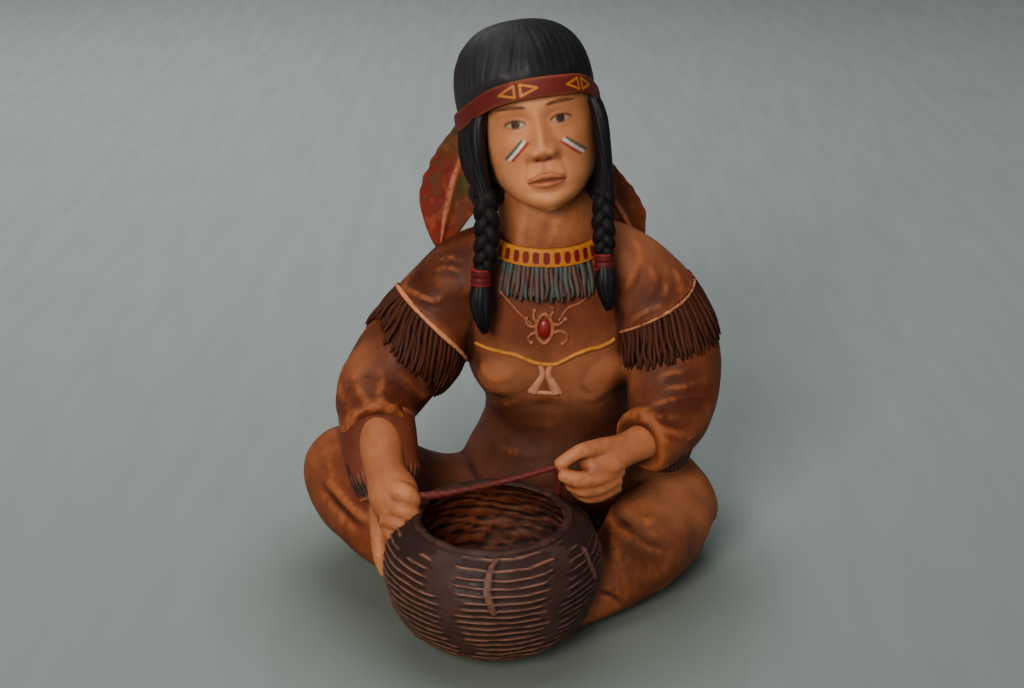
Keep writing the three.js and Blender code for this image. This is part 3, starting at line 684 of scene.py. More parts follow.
def chest_point(x, z, lift):
    """Point on the front of the chest at a place across and a height, moved out by a lift"""
    share = shares(400)
    middle, size, _, _, _ = track(TORSO, share, X)
    centre, wide, deep = (np.interp(z, middle[:, 2], column) for column in (middle[:, 1], size[:, 0], size[:, 1]))
    across = np.interp(z, middle[:, 2], middle[:, 0])
    front = centre - deep * np.sqrt(np.maximum(1 - ((x - across) / wide) ** 2, 0.05))
    for bx, by, bz, a, b, c in BUST:
        inside = np.maximum(1 - ((x - bx) / a) ** 2 - ((z - bz) / c) ** 2, 0)
        front = np.minimum(front, np.where(inside > 0, by - b * np.sqrt(inside), front))
    return np.stack([x, front - lift, z], -1)


def in_picture(points):
    """Pixel of each point, for points in the table's frame"""
    pitch = math.radians(PICTURE["pitch"])
    ray = points - MIDDLE - np.array(PICTURE["place"])
    ahead = ray @ np.array([0, math.cos(pitch), -math.sin(pitch)])
    up = ray @ np.array([0, math.sin(pitch), math.cos(pitch)])
    scale = PICTURE["focal"] / ahead
    return np.stack([PICTURE["width"] / 2 + scale * ray[:, 0], PICTURE["height"] / 2 - scale * up], 1)


def facing_picture(points, normals):
    """1 where a face looks at the picture's camera, and 0 where it looks away"""
    back = unit(np.array(PICTURE["place"]) + MIDDLE - points)
    return ramp(dots(back, normals), 0.02, 0.4)


def fold_height(places, path, across, width, rise):
    """Fold along a path: a rounded ridge with a crease down one side, tapered towards both of its ends"""
    near = np.all((places > path.min(0) - 4 * width) & (places < path.max(0) + 4 * width), axis=1)
    gap = places[near][:, None] - path[None]
    reach = np.linalg.norm(gap, axis=2)
    closest = reach.argmin(1)
    sided = dots(gap[np.arange(len(gap)), closest], across[closest])
    taper = np.sin(np.pi * (closest + 1) / (len(path) + 1)) ** 0.7
    crease = bell(sided - 2 * width, width) * bell(reach.min(1), 2.4 * width)
    height = np.zeros(len(places))
    height[near] = rise * taper * (bell(reach.min(1), width) - 0.6 * crease)
    return height


def drawn_height(points, normals, folds):
    """Height of folds drawn in the picture, on the faces that it shows. The crease lies below each ridge."""
    pixels = in_picture(points)
    height = np.zeros(len(points))
    for line, width, rise in folds:
        path = spline(line, shares(30))
        across = unit(np.gradient(path, axis=0) @ np.array([[0, 1], [-1, 0]]))
        across *= np.where(across[:, 1:] < 0, -1, 1)
        height += fold_height(pixels, path, across, width, rise)
    return height * facing_picture(points, normals)


# Pieces

def make_piece(name, shape, finish, paint, rounds=(3, 24), wear_and_shade=1.0):
    """Mesh object in metres with a named finish. Its point attributes are its paint, its hollows, fine and broad,
    and how far wash, wear, stain and painted shade show."""
    edges = edges_of(shape)
    normals = normals_of(shape)
    count = len(shape.points)
    mesh = mesh_of(name, moved(shape, (shape.points - MIDDLE) * MM))
    mesh.shade_smooth()
    rgba = np.ones((count, 4))
    rgba[:, :3] = paint
    mesh.attributes.new("paint", "FLOAT_COLOR", "POINT").data.foreach_set("color", rgba.ravel())
    fine, broad = (smoothed(hollows_of(shape, edges, normals, steps), edges, 1) for steps in rounds)
    for label, values in (("fine", fine), ("broad", broad), ("wear_and_shade", np.full(count, wear_and_shade) * 1.0)):
        mesh.attributes.new(label, "FLOAT", "POINT").data.foreach_set("value", values)
    mesh.materials.append(bpy.data.materials.get(finish) or painted_clay(finish))
    piece = placed(name, mesh)
    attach(piece, BODY)
    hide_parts(NODE)


# Materials

def node(tree, kind, values=None, **settings):
    """Shader node with its settings and the values or links of its inputs"""
    made = tree.nodes.new(kind)
    for key, value in settings.items():
        setattr(made, key, value)
    for key, value in (values or {}).items():
        if isinstance(value, bpy.types.NodeSocket):
            tree.links.new(value, made.inputs[key])
        else:
            made.inputs[key].default_value = value
    return made


def noise(tree, coordinates, scale, detail=3.0, stretch=(1, 1, 1)):
    """Noise on object coordinates, its scale in features a metre, and stretched along an axis if wanted"""
    mapped = node(tree, "ShaderNodeMapping", {"Vector": coordinates, "Scale": stretch})
    values = {"Vector": mapped.outputs[0], "Scale": scale, "Detail": detail, "Roughness": 0.55}
    return node(tree, "ShaderNodeTexNoise", values).outputs["Fac"]


def ranged(tree, value, low, high, to_low=0.0, to_high=1.0):
    """Value mapped smoothly from one range to another"""
    values = {"Value": value, "From Min": low, "From Max": high, "To Min": to_low, "To Max": to_high}
    return node(tree, "ShaderNodeMapRange", values, interpolation_type="SMOOTHSTEP").outputs[0]


def multiplied(tree, *values):
    """Product of several values"""
    product = values[0]
    for value in values[1:]:
        product = node(tree, "ShaderNodeMath", {0: product, 1: value}, operation="MULTIPLY").outputs[0]
    return product


def blended(tree, share, first, second, mode="MIX"):
    """Mix of two colours by a share"""
    made = node(tree, "ShaderNodeMix", {0: share, 6: first, 7: second}, data_type="RGBA", blend_type=mode)
    return made.outputs[2]


def painted_clay(name):
    """Brushed paint over clay. A dark wash lies in the hollows, a stain and painted shade lie in sheltered places,
    the ridges are rubbed lighter, and the brush leaves soft streaks and a fine grain: each is a mix by a share of
    its own."""
    finish = {**PLAIN_FINISH, **FINISHES[name]}
    recess_and_shade, ridge = ((*colour(*finish[key]), 1) for key in ("recess_and_shade", "ridge"))
    wash = finish["wash"]
    material = bpy.data.materials.new(name)
    material.use_nodes = True
    tree = material.node_tree
    tree.nodes.clear()
    place = node(tree, "ShaderNodeTexCoord").outputs["Object"]
    paint = node(tree, "ShaderNodeAttribute", attribute_name="paint").outputs["Color"]
    fine, broad, wear_and_shade = (
        node(tree, "ShaderNodeAttribute", attribute_name=label).outputs["Fac"] for label in ("fine", "broad", "wear_and_shade")
    )
    soft = noise(tree, place, PATCH_SCALE)
    brush = noise(tree, place, STROKE_SCALE, stretch=finish["streak"])
    speck = noise(tree, place, SPECK_SCALE, 2.0)
    dark = blended(tree, 1.0, paint, DARKER, "MULTIPLY")
    light = blended(tree, 1.0, paint, LIGHTER, "MULTIPLY")
    colours = blended(tree, ranged(tree, soft, 0.3, 0.7), dark, light)
    colours = blended(tree, multiplied(tree, ranged(tree, brush, 0.5, 0.8), 0.35), colours, light)
    colours = blended(tree, multiplied(tree, ranged(tree, speck, 0.62, 0.75), 0.25), colours, dark)
    crowns = multiplied(tree, ranged(tree, broad, *BROAD_RIDGE), ranged(tree, brush, 0.1, 0.6), finish["crown"], wear_and_shade)
    colours = blended(tree, crowns, colours, ridge)
    colours = blended(tree, multiplied(tree, ranged(tree, broad, *BROAD_HOLLOW), wash, wear_and_shade), colours, recess_and_shade)
    colours = blended(tree, multiplied(tree, ranged(tree, fine, *FINE_HOLLOW), wash, wear_and_shade), colours, recess_and_shade)
    # Stain and painted shade: ambient occlusion darkens sheltered places with the hollows' paint
    occlusion_shade = node(tree, "ShaderNodeAmbientOcclusion", {"Distance": SHADE_REACH}, samples=8, only_local=True)
    stain_and_shade_share = multiplied(tree, ranged(tree, occlusion_shade.outputs["AO"], 0.8, 0.25), finish["stain_and_shade"], wear_and_shade)
    colours = blended(tree, stain_and_shade_share, colours, recess_and_shade)
    rubbed = multiplied(tree, ranged(tree, fine, *FINE_RIDGE), ranged(tree, brush, 0.3, 0.6), finish["rub"], wear_and_shade)
    colours = blended(tree, rubbed, colours, ridge)
    relief = node(tree, "ShaderNodeMath", {0: multiplied(tree, brush, 0.7), 1: multiplied(tree, speck, 0.3)},
                  operation="ADD").outputs[0]
    bump = node(tree, "ShaderNodeBump", {"Strength": finish["grain"], "Distance": GRAIN_HEIGHT, "Height": relief})
    values = {
        "Base Color": colours,
        "Roughness": ranged(tree, brush, 0.3, 0.7, *finish["rough"]),
        "Normal": bump.outputs[0],
        "Specular IOR Level": finish["shine"],
    }
    shader = node(tree, "ShaderNodeBsdfPrincipled", values)
    node(tree, "ShaderNodeOutputMaterial", {"Surface": shader.outputs[0]})
    return material


# Dress

LIMBS = {
    "torso": (TORSO, X),
    "left thigh": (THIGH["left"], Y),
    "left shin": (SHIN["left"], Y),
    "right thigh": (THIGH["right"], Y),
    "right shin": (SHIN["right"], Y),
    "right sleeve": (SLEEVE["right"], Y),
    "left sleeve": (SLEEVE["left"], Y),
}


# Folds of a limb are [count, first share, last share, run along it, run round it, half width, height]
LIMB_FOLDS = {
    "torso": [24, 0.12, 0.92, 0.14, 0.2, 5.2, 1.2],
    "thigh": [14, 0.1, 0.95, 0.12, 0.5, 3.4, 1.4],
    "shin": [9, 0.1, 0.9, 0.12, 0.5, 3.0, 1.1],
    "sleeve": [16, 0.45, 0.97, 0.06, 0.4, 3.0, 1.1],
}
REST_EDGE = 13.0
# Places painted lighter as highlights, by a tone above 0, and darker as shade, by one below it, are [middle, spread,
# tone]
LIT_AND_SHADED_PLACES = [
    [(-33, 36, 166), 24, -0.95], [(-66, 8, 112), 22, -0.5], [(-62, 30, 136), 18, -0.3], [(70, 50, 180), 18, 1.0],
    [(78, 26, 154), 13, -0.8], [(103, 12, 126), 18, -0.3], [(84, 0, 104), 14, -0.7], [(64, -26, 36), 20, -0.9],
    [(36, -52, 18), 13, 0.75], [(-1, 14, 119), 14, 0.8], [(42, 14, 118), 15, 0.95], [(94, 12, 46), 20, 0.7],
    [(-84, 10, 128), 11, 0.4], [(-100, 12, 66), 14, 0.3], [(20, 20, 146), 20, -0.15], [(76, -6, 56), 14, 0.6],
    [(-38, 38, 52), 14, 0.3], [(2, 25, 58), 15, -0.4],
]


def nearest_limb(points):
    """Name of the limb that each point lies on: the one whose middle is nearest for its thickness"""
    share = shares(24)
    gaps = []
    for stations, axis in LIMBS.values():
        middle, size, _, _, _ = track(stations, share, axis)
        far = np.linalg.norm(points[:, None] - middle[None], axis=2) / size.mean(1)
        gaps.append(far.min(1))
    return np.array(list(LIMBS))[np.argmin(gaps, axis=0)]


def limb_folds(points, limbs):
    """Loose folds on every limb: short curved strokes at seeded places along it and round it"""
    rng = np.random.default_rng(LIMB_FOLD_SEED)
    height = np.zeros(len(points))
    for name, (stations, axis) in LIMBS.items():
        count, low, high, along, around, width, rise = LIMB_FOLDS[name.split()[-1]]
        here = np.flatnonzero(limbs == name)
        way = np.linspace(-1, 1, 22)
        for _ in range(count):
            lean = rng.choice([-1, 1]) * rng.uniform(0.5, 1.2)
            share = rng.uniform(low, high) + along * rng.uniform(0.6, 1.3) * way
            angle = rng.uniform(0, 2 * np.pi) + lean * around * way + 0.18 * rng.normal() * way ** 2
            path = limb_point(stations, axis, np.clip(share, 0, 1), angle)
            middle = track(stations, np.clip(share, 0, 1), axis)[0]
            across = unit(np.cross(np.gradient(path, axis=0), path - middle))
            size = width * rng.uniform(0.75, 1.3)
            height[here] += fold_height(points[here], path, across, size, rise * rng.uniform(0.6, 1.1))
    return height


def settled(points, normals):
    """Points near the ground drawn in along a quarter circle, as clay that rests on its edge"""
    low = np.clip(1 - points[:, 2] / REST_EDGE, 0, 1)
    return points - normals * [1, 1, 0] * (0.6 * REST_EDGE * (1 - np.sqrt(1 - low ** 2)))[:, None]


def out_of_basket(points):
    """Points inside the basket's bowl moved out to the middle of its wall"""
    outline = spline(BASKET_OUTLINE, shares(60))
    reach = np.interp(points[:, 2], outline[:, 1], outline[:, 0]) - 0.5 * BASKET_WALL
    spoke = points[:, :2] - BASKET_CENTRE
    gap = np.maximum(np.linalg.norm(spoke, axis=1), 1e-6)
    inside = (gap < reach) & (points[:, 2] < BASKET_OUTLINE[-1][1])
    free = points.copy()
    free[inside, :2] = BASKET_CENTRE + spoke[inside] * (reach / gap)[inside, None]
    return free


def dress_shape(sizes):
    """Torso, sleeves with their yokes, lap and legs, cast as one skin, then folded"""
    parts = [limb(TORSO, sides=96, rows=110)]
    parts += [ball(mass[:3], mass[3:]) for mass in (*BUST, LAP)]
    parts += [limb(leg[side], Y, rounded=10) for side in ("left", "right") for leg in (THIGH, SHIN)]
    for side in SIDES:
        parts.append(limb(SLEEVE[side], Y))
        parts.append(limb(SLEEVE[side], Y, end=yoke_edge(side), lift=YOKE["lift"]))
    cast = remeshed(joined(parts), sizes.dress_grain)
    edges = edges_of(cast)
    cast = moved(cast, smoothed(cast.points, edges, 6))
    normals = normals_of(cast)
    limbs = nearest_limb(cast.points)
    seen = facing_picture(cast.points, normals)
    height = (1 - 0.85 * seen) * limb_folds(cast.points, limbs) * ramp(cast.points[:, 2], 3, 16)
    height = height + 0.5 * waves(cast.points, NOISE["dress"], 46)
    for name, folds in DRAWN_FOLDS.items():
        here = np.char.find(name, limbs) >= 0
        height[here] += drawn_height(cast.points[here], normals[here], folds)
    height = smoothed(height, edges, 1) * sizes.fold_depth
    folded = settled(raised(cast, height).points, normals)
    folded[:, 2] = np.maximum(folded[:, 2], 0)
    return moved(cast, out_of_basket(folded))


def dress_paint(points, colours):
    """Buckskin brown, with painted shade down the front of the body, a darker lap, and places painted lighter as
    highlights and others darker as shade
    """
    x, y, z = points.T
    # Painted shade down the front of the body below the bust
    front = ramp(z, 116, 98) * ramp(z, 30, 62) * ramp(y, 60, 30) * ramp(x, -26, -8) * ramp(x, 84, 66)
    lap = ramp(z, 90, 70) * ramp(y, 62, 44) * ramp(y, -30, -16) * ramp(x, -64, -46) * ramp(x, 52, 34)
    patch = waves(points, NOISE["buckskin"], 34)
    return layered(coat(colours.buckskin, points), [
        (colours.pale_and_highlight_buckskin, 0.16 * ramp(patch, 0, 1.2)),
        ("burnt_buckskin", 0.2 * ramp(-patch, 0, 1.2)),
        (colours.belly_shade, 0.85 * front),
        (colours.lap, 0.9 * lap),
        # Painted highlights and painted shade at the listed places
        *((colours.pale_and_highlight_buckskin if tone > 0 else "shaded_buckskin",
           abs(tone) * bell(np.linalg.norm(points - place, axis=1), spread)) for place, spread, tone in LIT_AND_SHADED_PLACES),
    ])


def build_dress(sizes, colours):
    """The cast and folded skin of the dress in buckskin paint"""
    shape = dress_shape(sizes)
    make_piece("dress", shape, "buckskin_paint", dress_paint(shape.points, colours), rounds=(3, 25))


# Fringes

def strands(lines, normals, half_width, half_thick):
    """Strips that follow lines: an oval section, wide across the normal, which narrows to a blunt tip"""
    along = unit(np.gradient(lines, axis=1))
    across = unit(np.cross(along, normals))
    out = np.cross(across, along)
    share = shares(lines.shape[1])[None, :, None, None]
    angle = angles_round(6)[None, None, :, None]
    size = np.sqrt(np.clip(1 - share ** 6, 0.06, 1))
    section = across[:, :, None] * half_width * np.cos(angle) + out[:, :, None] * half_thick * np.sin(angle)
    return joined([skin(grid) for grid in lines[:, :, None] + section * size])


def hanging_lines(stations, share, angle, length, steps, lift):
    """Lines that run down a sleeve's skin: each step follows a blend of its slope and its length, and the step's
    share and angle solve two linear equations. Returns the points and the directions out of the skin."""
    step, tiny, pull = length / steps, 1e-3, 0.6
    lines, outs = [], []
    for _ in range(steps + 1):
        here = limb_point(stations, Y, share, angle, lift)
        by_share = (limb_point(stations, Y, share + tiny, angle, lift) - here) / tiny
        by_angle = (limb_point(stations, Y, share, angle + tiny, lift) - here) / tiny
        out = unit(np.cross(by_angle, by_share))
        out = out * np.sign(dots(out, here - track(stations, share, Y)[0]))[:, None]
        slope = -Z - out * (out @ -Z)[:, None]
        way = unit(pull * slope + (1 - pull) * unit(by_share)) * step[:, None]
        ss, sa, aa = dots(by_share, by_share), dots(by_share, by_angle), dots(by_angle, by_angle)
        ws, wa = dots(way, by_share), dots(way, by_angle)
        lines.append(here)
        outs.append(out)
        share = share + (ws * aa - wa * sa) / (ss * aa - sa * sa)
        angle = angle + (wa * ss - ws * sa) / (ss * aa - sa * sa)
    return np.stack(lines, 1), np.stack(outs, 1)


def yoke_edge(side):
    """Function of the angle that gives the share of the sleeve where a yoke ends"""
    middle, lean, tilt = YOKE[side]
    return lambda angle: middle + lean * np.sin(angle) + tilt * np.cos(angle)


def fringe_length(side, angle):
    """Length of a shoulder's strands round the sleeve"""
    full, lean, notch, place = SHOULDER_FRINGE[side]
    return full + lean * np.sin(angle) - notch * np.exp((np.cos(angle - place) - 1) / 0.06)


def shoulder_fringe(side):
    """A thin backing and two layers of strands, which sway as sines, from the leaning edge of the yoke"""
    rng = np.random.default_rng(SHOULDER_SEED[side])
    sleeve, edge = SLEEVE[side], yoke_edge(side)
    steps, count = 22, SHOULDER_FRINGE["strands"]
    angle = angles_round(120)
    share = edge(angle) - 0.012
    lines, outs = hanging_lines(sleeve, share, angle, 0.86 * fringe_length(side, angle), steps, 0.9)
    backing = hoop(np.concatenate([lines, (lines - 1.6 * outs)[:, ::-1]], 1).transpose(1, 0, 2))
    shapes = [backing]
    for layer in range(2):
        angle = 2 * np.pi * (np.arange(count) + 0.5 * layer) / count + rng.normal(0, 0.012, count)
        share = edge(angle) - 0.012
        length = fringe_length(side, angle) * (1 - 0.06 * layer) * rng.uniform(0.93, 1.04, count)
        lines, outs = hanging_lines(sleeve, share, angle, length, steps, 1.3 + 0.9 * layer)
        way = shares(steps + 1)[None]
        sway = np.sin(way * rng.uniform(4, 9, (count, 1)) + rng.uniform(0, 6, (count, 1)))
        across = unit(np.cross(np.gradient(lines, axis=1), outs))
        lines = lines + across * (0.8 * sway * way)[..., None] + outs * (0.3 * sway)[..., None]
        shapes.append(strands(lines, outs, 1.55, 1.15))
    return joined(shapes)


def ring_on_sleeve(sleeve, share, lift, radius):
    """Round hem carried round a sleeve at a share of its length that varies with the angle"""
    angle = angles_round(len(share))
    ring = limb_point(sleeve, Y, share, angle, lift)
    out = unit(ring - limb_point(sleeve, Y, share, angle))
    side = np.cross(unit(np.roll(ring, -1, 0) - np.roll(ring, 1, 0)), out)
    turn = angles_round(12)[None, :, None]
    width = radius * (1 + 0.1 * np.sin(5 * angle)[:, None, None])
    return hoop(ring[:, None] + out[:, None] * width * np.cos(turn) + side[:, None] * width * np.sin(turn))


def build_fringes(colours):
    """A fringe hangs from the edge of each yoke, and a round hem is carried along that edge"""
    turn = angles_round(200)
    for side, (radius, brown) in PIPING.items():
        shape = shoulder_fringe(side)
        tint = waves(shape.points * FRINGE_STREAK, NOISE["fringe"], 12)
        moss = waves(shape.points * FRINGE_STREAK, NOISE["fringe_green"], 9)
        paint = layered(coat(colours.fringe, shape.points), [
            ("fringe_red", ramp(tint, -0.4, 0.8)),
            ("fringe_green", 0.5 * ramp(moss, 0.2, 0.9)),
        ])
        make_piece(side + "_shoulder_fringe", shape, "fringe_paint", paint, rounds=(2, 8))
        hem = ring_on_sleeve(SLEEVE[side], yoke_edge(side)(turn) - 0.006, YOKE["lift"] + 0.6, radius)
        shade = mixed(coat(colours.piping, hem.points), colours.buckskin, brown)
        make_piece(side + "_yoke_piping", hem, "piping_paint", shade)


# Head

# Features of the face are [height, distance from the middle, its spread, height on the face, its spread]
FACE_RELIEF = {
    "nose wing": (3.4, 5.3, 2.0, -14.6, 2.5), "nostril": (-1.6, 2.9, 1.3, -17.6, 1.1),
    "eye socket": (-3.6, 11.0, 6.4, 1.5, 4.6), "eyeball": (3.1, 11.6, 4.1, -0.3, 3.0),
    "cheekbone": (2.0, 17.5, 6.0, -9.5, 6.0), "philtrum": (-0.5, 0.0, 1.3, -22.0, 2.2),
    "chin groove": (-1.3, 0.0, 7.5, -34.8, 1.6), "chin": (2.5, 0.0, 7.0, -40.0, 4.0),
    "temple": (-0.8, 25.0, 5.0, 7.0, 8.0),
}
# The socket tint is painted shade in the eye sockets
FACE_TINTS = {"glow": (1, 16, 6, -12, 6), "socket": (1, 11.5, 6.5, 3.0, 3.2), "nostril": (1, 3.0, 1.0, -17.7, 0.7)}
# Heights on the face of the line between the lips and of the fullest part of each lip
MOUTH, UPPER_LIP, LOWER_LIP = -28.9, -26.6, -31.0
EYE_PLACE, EYE_HALF = 11.4, 5.6


def feature(row, side, z):
    """Soft mound or dent: a height times a bell across the face and a bell up it"""
    height, out, width, up, tall = row
    return height * bell(side - out, width) * bell(z - up, tall)


def face_relief(x, z):
    """Depth of a calm, even face over the skull: each feature is a bell or a curve of its own"""
    side = np.abs(x)
    nose_line = curve(z, [-21, -18.5, -16.5, -13.5, -9, -2, 5, 10], [0, 0.6, 5.5, 9.2, 8.0, 4.2, 1.2, 0])
    nose_half = curve(z, [-19, -15, -11, -4, 8], [4.2, 4.4, 3.4, 2.7, 3.6])
    depth = nose_line * bell(x, nose_half)
    for name in ("nose wing", "nostril", "eye socket", "eyeball"):
        depth += feature(FACE_RELIEF[name], side, z)
    # Lids follow an arc over and under the eye, and the brow stands over it
    lid = 2.4 - 0.06 * (side - 11.2) ** 2
    depth += 0.55 * bell(z - lid - 0.3, 0.75) * ramp(side, 4.6, 7.0) * ramp(side, 18.5, 16.0)
    depth += 0.35 * bell(z + lid * 0.75 + 0.9, 0.7) * ramp(side, 5.5, 8.0) * ramp(side, 17.5, 15.5)
    depth += 1.7 * bell(side - 11.5, 7.5) * bell(z - 9.0 + 0.012 * (side - 10) ** 2, 2.8)
    depth += feature(FACE_RELIEF["cheekbone"], side, z)
    # The cheek's fold runs down and outwards from the nose
    depth -= 0.7 * bell(side - (8.2 - 0.28 * (z + 18)), 1.3) * bell(z + 21.5, 4.0)
    depth += feature(FACE_RELIEF["philtrum"], side, z)
    # Each lip is a bell along a bowed line, and a groove parts them
    upper = np.clip(1 - (side / 10.2) ** 2, 0, 1) ** 0.7
    bow = UPPER_LIP + 0.5 * bell(side - 2.6, 1.6) - 0.012 * side ** 2
    depth += 2.3 * upper * bell(z - bow, 1.55)
    lower = np.clip(1 - (side / 8.8) ** 2, 0, 1) ** 0.7
    depth += 2.7 * lower * bell(z - LOWER_LIP - 0.01 * side ** 2, 1.8)
    seam = MOUTH + 0.25 * bell(side, 2.0) - 0.006 * side ** 2
    depth -= 1.7 * np.clip(1 - (side / 11.0) ** 2, 0, 1) * bell(z - seam, 0.55)
    for name in ("chin groove", "chin", "temple"):
        depth += feature(FACE_RELIEF[name], side, z)
    return depth


def head_shape():
    """Skull rings with the face raised on their front half"""
    sides, rows = 240, 205
    rings = np.array(SKULL, float)
    share = shares(rows)
    width_z = spline(rings[:, [1, 0]], share)
    depths = spline(rings[:, [2, 3]], share)
    turn = angles_round(sides)[None]
    angle = turn + 0.3 * np.sin(2 * turn)
    width, z = (width_z[:, k, None] for k in range(2))
    front, back = (depths[:, k, None] for k in range(2))
    ahead = np.sin(angle) < 0
    x = width * np.cos(angle)
    y = np.where(ahead, front, back) * np.sin(angle)
    fade = np.clip(-2 * np.sin(angle), 0, 1)
    y = y - np.where(ahead, face_relief(x, z) * fade, 0)
    grid = np.stack([x, y, z + 0 * x], -1)
    return skin(grid)


def face_paint(local, colours):
    """Skin, lips, eyes, brows and three cheek stripes, in the head's frame: each covers the skin by a share that
    fades at its edge. Returns the paint and how far wash, wear, stain and painted shade show."""
    x, y, z = local.T
    side = np.abs(x)
    front = ramp(-y, 8, 14)
    glow, socket, nostril = (feature(FACE_TINTS[key], side, z) * front for key in ("glow", "socket", "nostril"))
    lips = np.clip(1 - (side / 10.2) ** 2, 0, 1)
    upper = ramp(np.abs(z + 26.9 - 0.4 * bell(side - 2.6, 1.6) + 0.012 * side ** 2), 2.3 * lips + 0.2, 1.6 * lips)
    lower = ramp(np.abs(z + 30.9 - 0.01 * side ** 2), 2.6 * lips + 0.2, 1.9 * lips)
    seam = bell(z - MOUTH + 0.006 * side ** 2, 0.4) * ramp(side, 10.5, 9.0) * front
    # The eye is an almond between two arcs, with a round iris under the upper lid
    arch = np.clip(1 - ((side - EYE_PLACE) / EYE_HALF) ** 2, 0, 1)
    top, low = 0.5 + 1.9 * arch, 0.3 - 1.7 * arch
    eye = ramp(top - z, -0.15, 0.25) * ramp(z - low, -0.15, 0.25) * ramp(arch, 0, 0.08) * front
    iris = ramp(np.hypot(side - EYE_PLACE, z - 0.6), 2.5, 2.0) * eye
    lash = bell(z - top - 0.1, 0.42) * ramp(arch, 0.0, 0.1) * front
    under = bell(z - low + 0.1, 0.3) * ramp(arch, 0.0, 0.15) * front
    brow = 8.2 + 1.1 * (1 - ((side - 12.5) / 8) ** 2)
    thick = 0.75 * ramp(side, 4.0, 7.5) * ramp(side, 21.0, 14.0) + 0.05
    drawn = ramp(np.abs(z - brow), thick + 0.35, thick) * ramp(side, 4.2, 5.2) * ramp(side, 20.5, 19.0) * front
    layers = [
        ("face_front", 0.45 * front),
        ("cheek_glow", 0.45 * glow),
        # Painted shade in the eye sockets
        ("eye_socket_shade", 0.45 * socket),
        (colours.lips, 0.8 * np.maximum(upper, lower) * front * ramp(lips, 0, 0.12)),
        ("mouth_line", 0.85 * seam),
        ("eyeball", 0.8 * eye),
        ("iris", 0.97 * iris),
        ("lash", 0.95 * lash),
        ("lower_lid", 0.6 * under),
        ("brow", 0.9 * drawn),
        ("nostril", 0.8 * nostril),
    ]
    # Stripes slant down and outwards over each cheek, green above white above red
    place_x, place_z = (np.where(x < 0, STRIPES["right"][k], STRIPES["left"][k]) for k in range(2))
    down = (side - place_x) * STRIPES["lean"][0] - (z - place_z) * STRIPES["lean"][1]
    across = (side - place_x) * STRIPES["lean"][1] + (z - place_z) * STRIPES["lean"][0]
    for place, shade in ((1, colours.stripe_green), (0, colours.stripe_white), (-1, colours.stripe_red)):
        line = ramp(np.abs(across - place * STRIPES["pitch"]), 0.85, 0.6)
        line = line * ramp(np.abs(down - 0.7 * place), STRIPES["half"] + 0.4, STRIPES["half"] - 0.4) * front
        layers.append((shade, 0.92 * line))
    clean = np.maximum(eye, 0.9 * ramp(np.hypot(side - EYE_PLACE, (z - 0.5) * 1.5), 7.5, 6.0))
    return layered(coat(colours.skin, local), layers), 1 - clean * front


def build_head(colours):
    """The face on its skull, and a neck with a bell-shaped tendon at each side and a hollow at the throat"""
    shape = head_shape()
    paint, wear_and_shade = face_paint(shape.points, colours)
    make_piece("face", moved(shape, on_head(shape.points)), "skin_paint", paint, (4, 40), wear_and_shade)
    neck = limb(NECK, sides=100, rows=60)
    x, y, z = neck.points.T
    tendons = 0.4 * bell(np.abs(x - 20 - 0.25 * (z - 215)) - 8 - 0.12 * (z - 195), 2.2) * ramp(y, 40, 34)
    neck = raised(neck, tendons - 0.8 * bell(x - 20, 3.5) * ramp(y, 36, 30) * ramp(z, 205, 198))
    shaded = mixed(coat(colours.skin, neck.points), "neck_shade", 0.5 + 0.35 * ramp(z, 205, 225))
    make_piece("neck", neck, "skin_paint", shaded, rounds=(4, 30))


# Hair

def hair_grooves(angle, down, seed, count=34):
    """Grooves between strands that run down from the crown: rounded ridges whose lines wander"""
    rng = np.random.default_rng(seed)
    wander = sum(
        rng.uniform(0.02, 0.05) * np.sin(k * angle + rng.uniform(0, 6) + rng.uniform(-2, 2) * down)
        for k in range(2, 8)
    )
    main = np.abs(np.sin(count / 2 * (angle + wander))) ** 0.8
    fine = np.sin(round(count * 2.3) * (angle + 1.4 * wander) + 3 * down)
    locks = np.sin(6 * (angle + 2 * wander) + 1.2 * down)
    return 0.45 * (main - 0.6) + 0.12 * fine + 0.5 * locks


def round_head(table, angle):
    """Values of a table of angles in degrees, smooth and closed round the head"""
    table = np.array(table, float)
    knots = np.radians(np.concatenate([table[-2:, 0] - 360, table[:, 0], table[:2, 0] + 360]))
    values = np.vstack([table[-2:, 1:], table[:, 1:], table[:2, 1:]])
    turn = np.mod(angle, 2 * np.pi)
    return [curve(turn, knots, column) for column in values.T]


def head_point(angle, radius, height):
    """Point at an angle from the face towards the figure's left, a radius and a height of the head's frame"""
    x, y = HEAD_AXIS[0] + radius * np.sin(angle), HEAD_AXIS[1] - radius * np.cos(angle)
    return np.stack([x, y, height + 0 * x], -1)


def egg_reach(angle, height):
    """Radius of the crown's egg from the head's axis, at an angle and a height"""
    level = np.clip(np.abs((height - CAP_CENTRE[2]) / CAP_RADII[2]), 0, 1)
    girth = np.maximum((1 - level ** (2 / CAP_SQUARENESS)) ** (CAP_SQUARENESS / 2), 1e-3)
    a, b = CAP_RADII[0] * girth, CAP_RADII[1] * girth
    dx, dy = HEAD_AXIS[0] - CAP_CENTRE[0], HEAD_AXIS[1] - CAP_CENTRE[1]
    sx, sy = np.sin(angle) + 0 * a, -np.cos(angle) + 0 * a
    # The ray from the axis meets the ellipse at the larger root of a quadratic
    qa, qb, qc = (sx / a) ** 2 + (sy / b) ** 2, dx * sx / a ** 2 + dy * sy / b ** 2, (dx / a) ** 2 + (dy / b) ** 2 - 1
    return np.maximum((-qb + np.sqrt(np.maximum(qb ** 2 - qa * qc, 0))) / qa, 0.02)


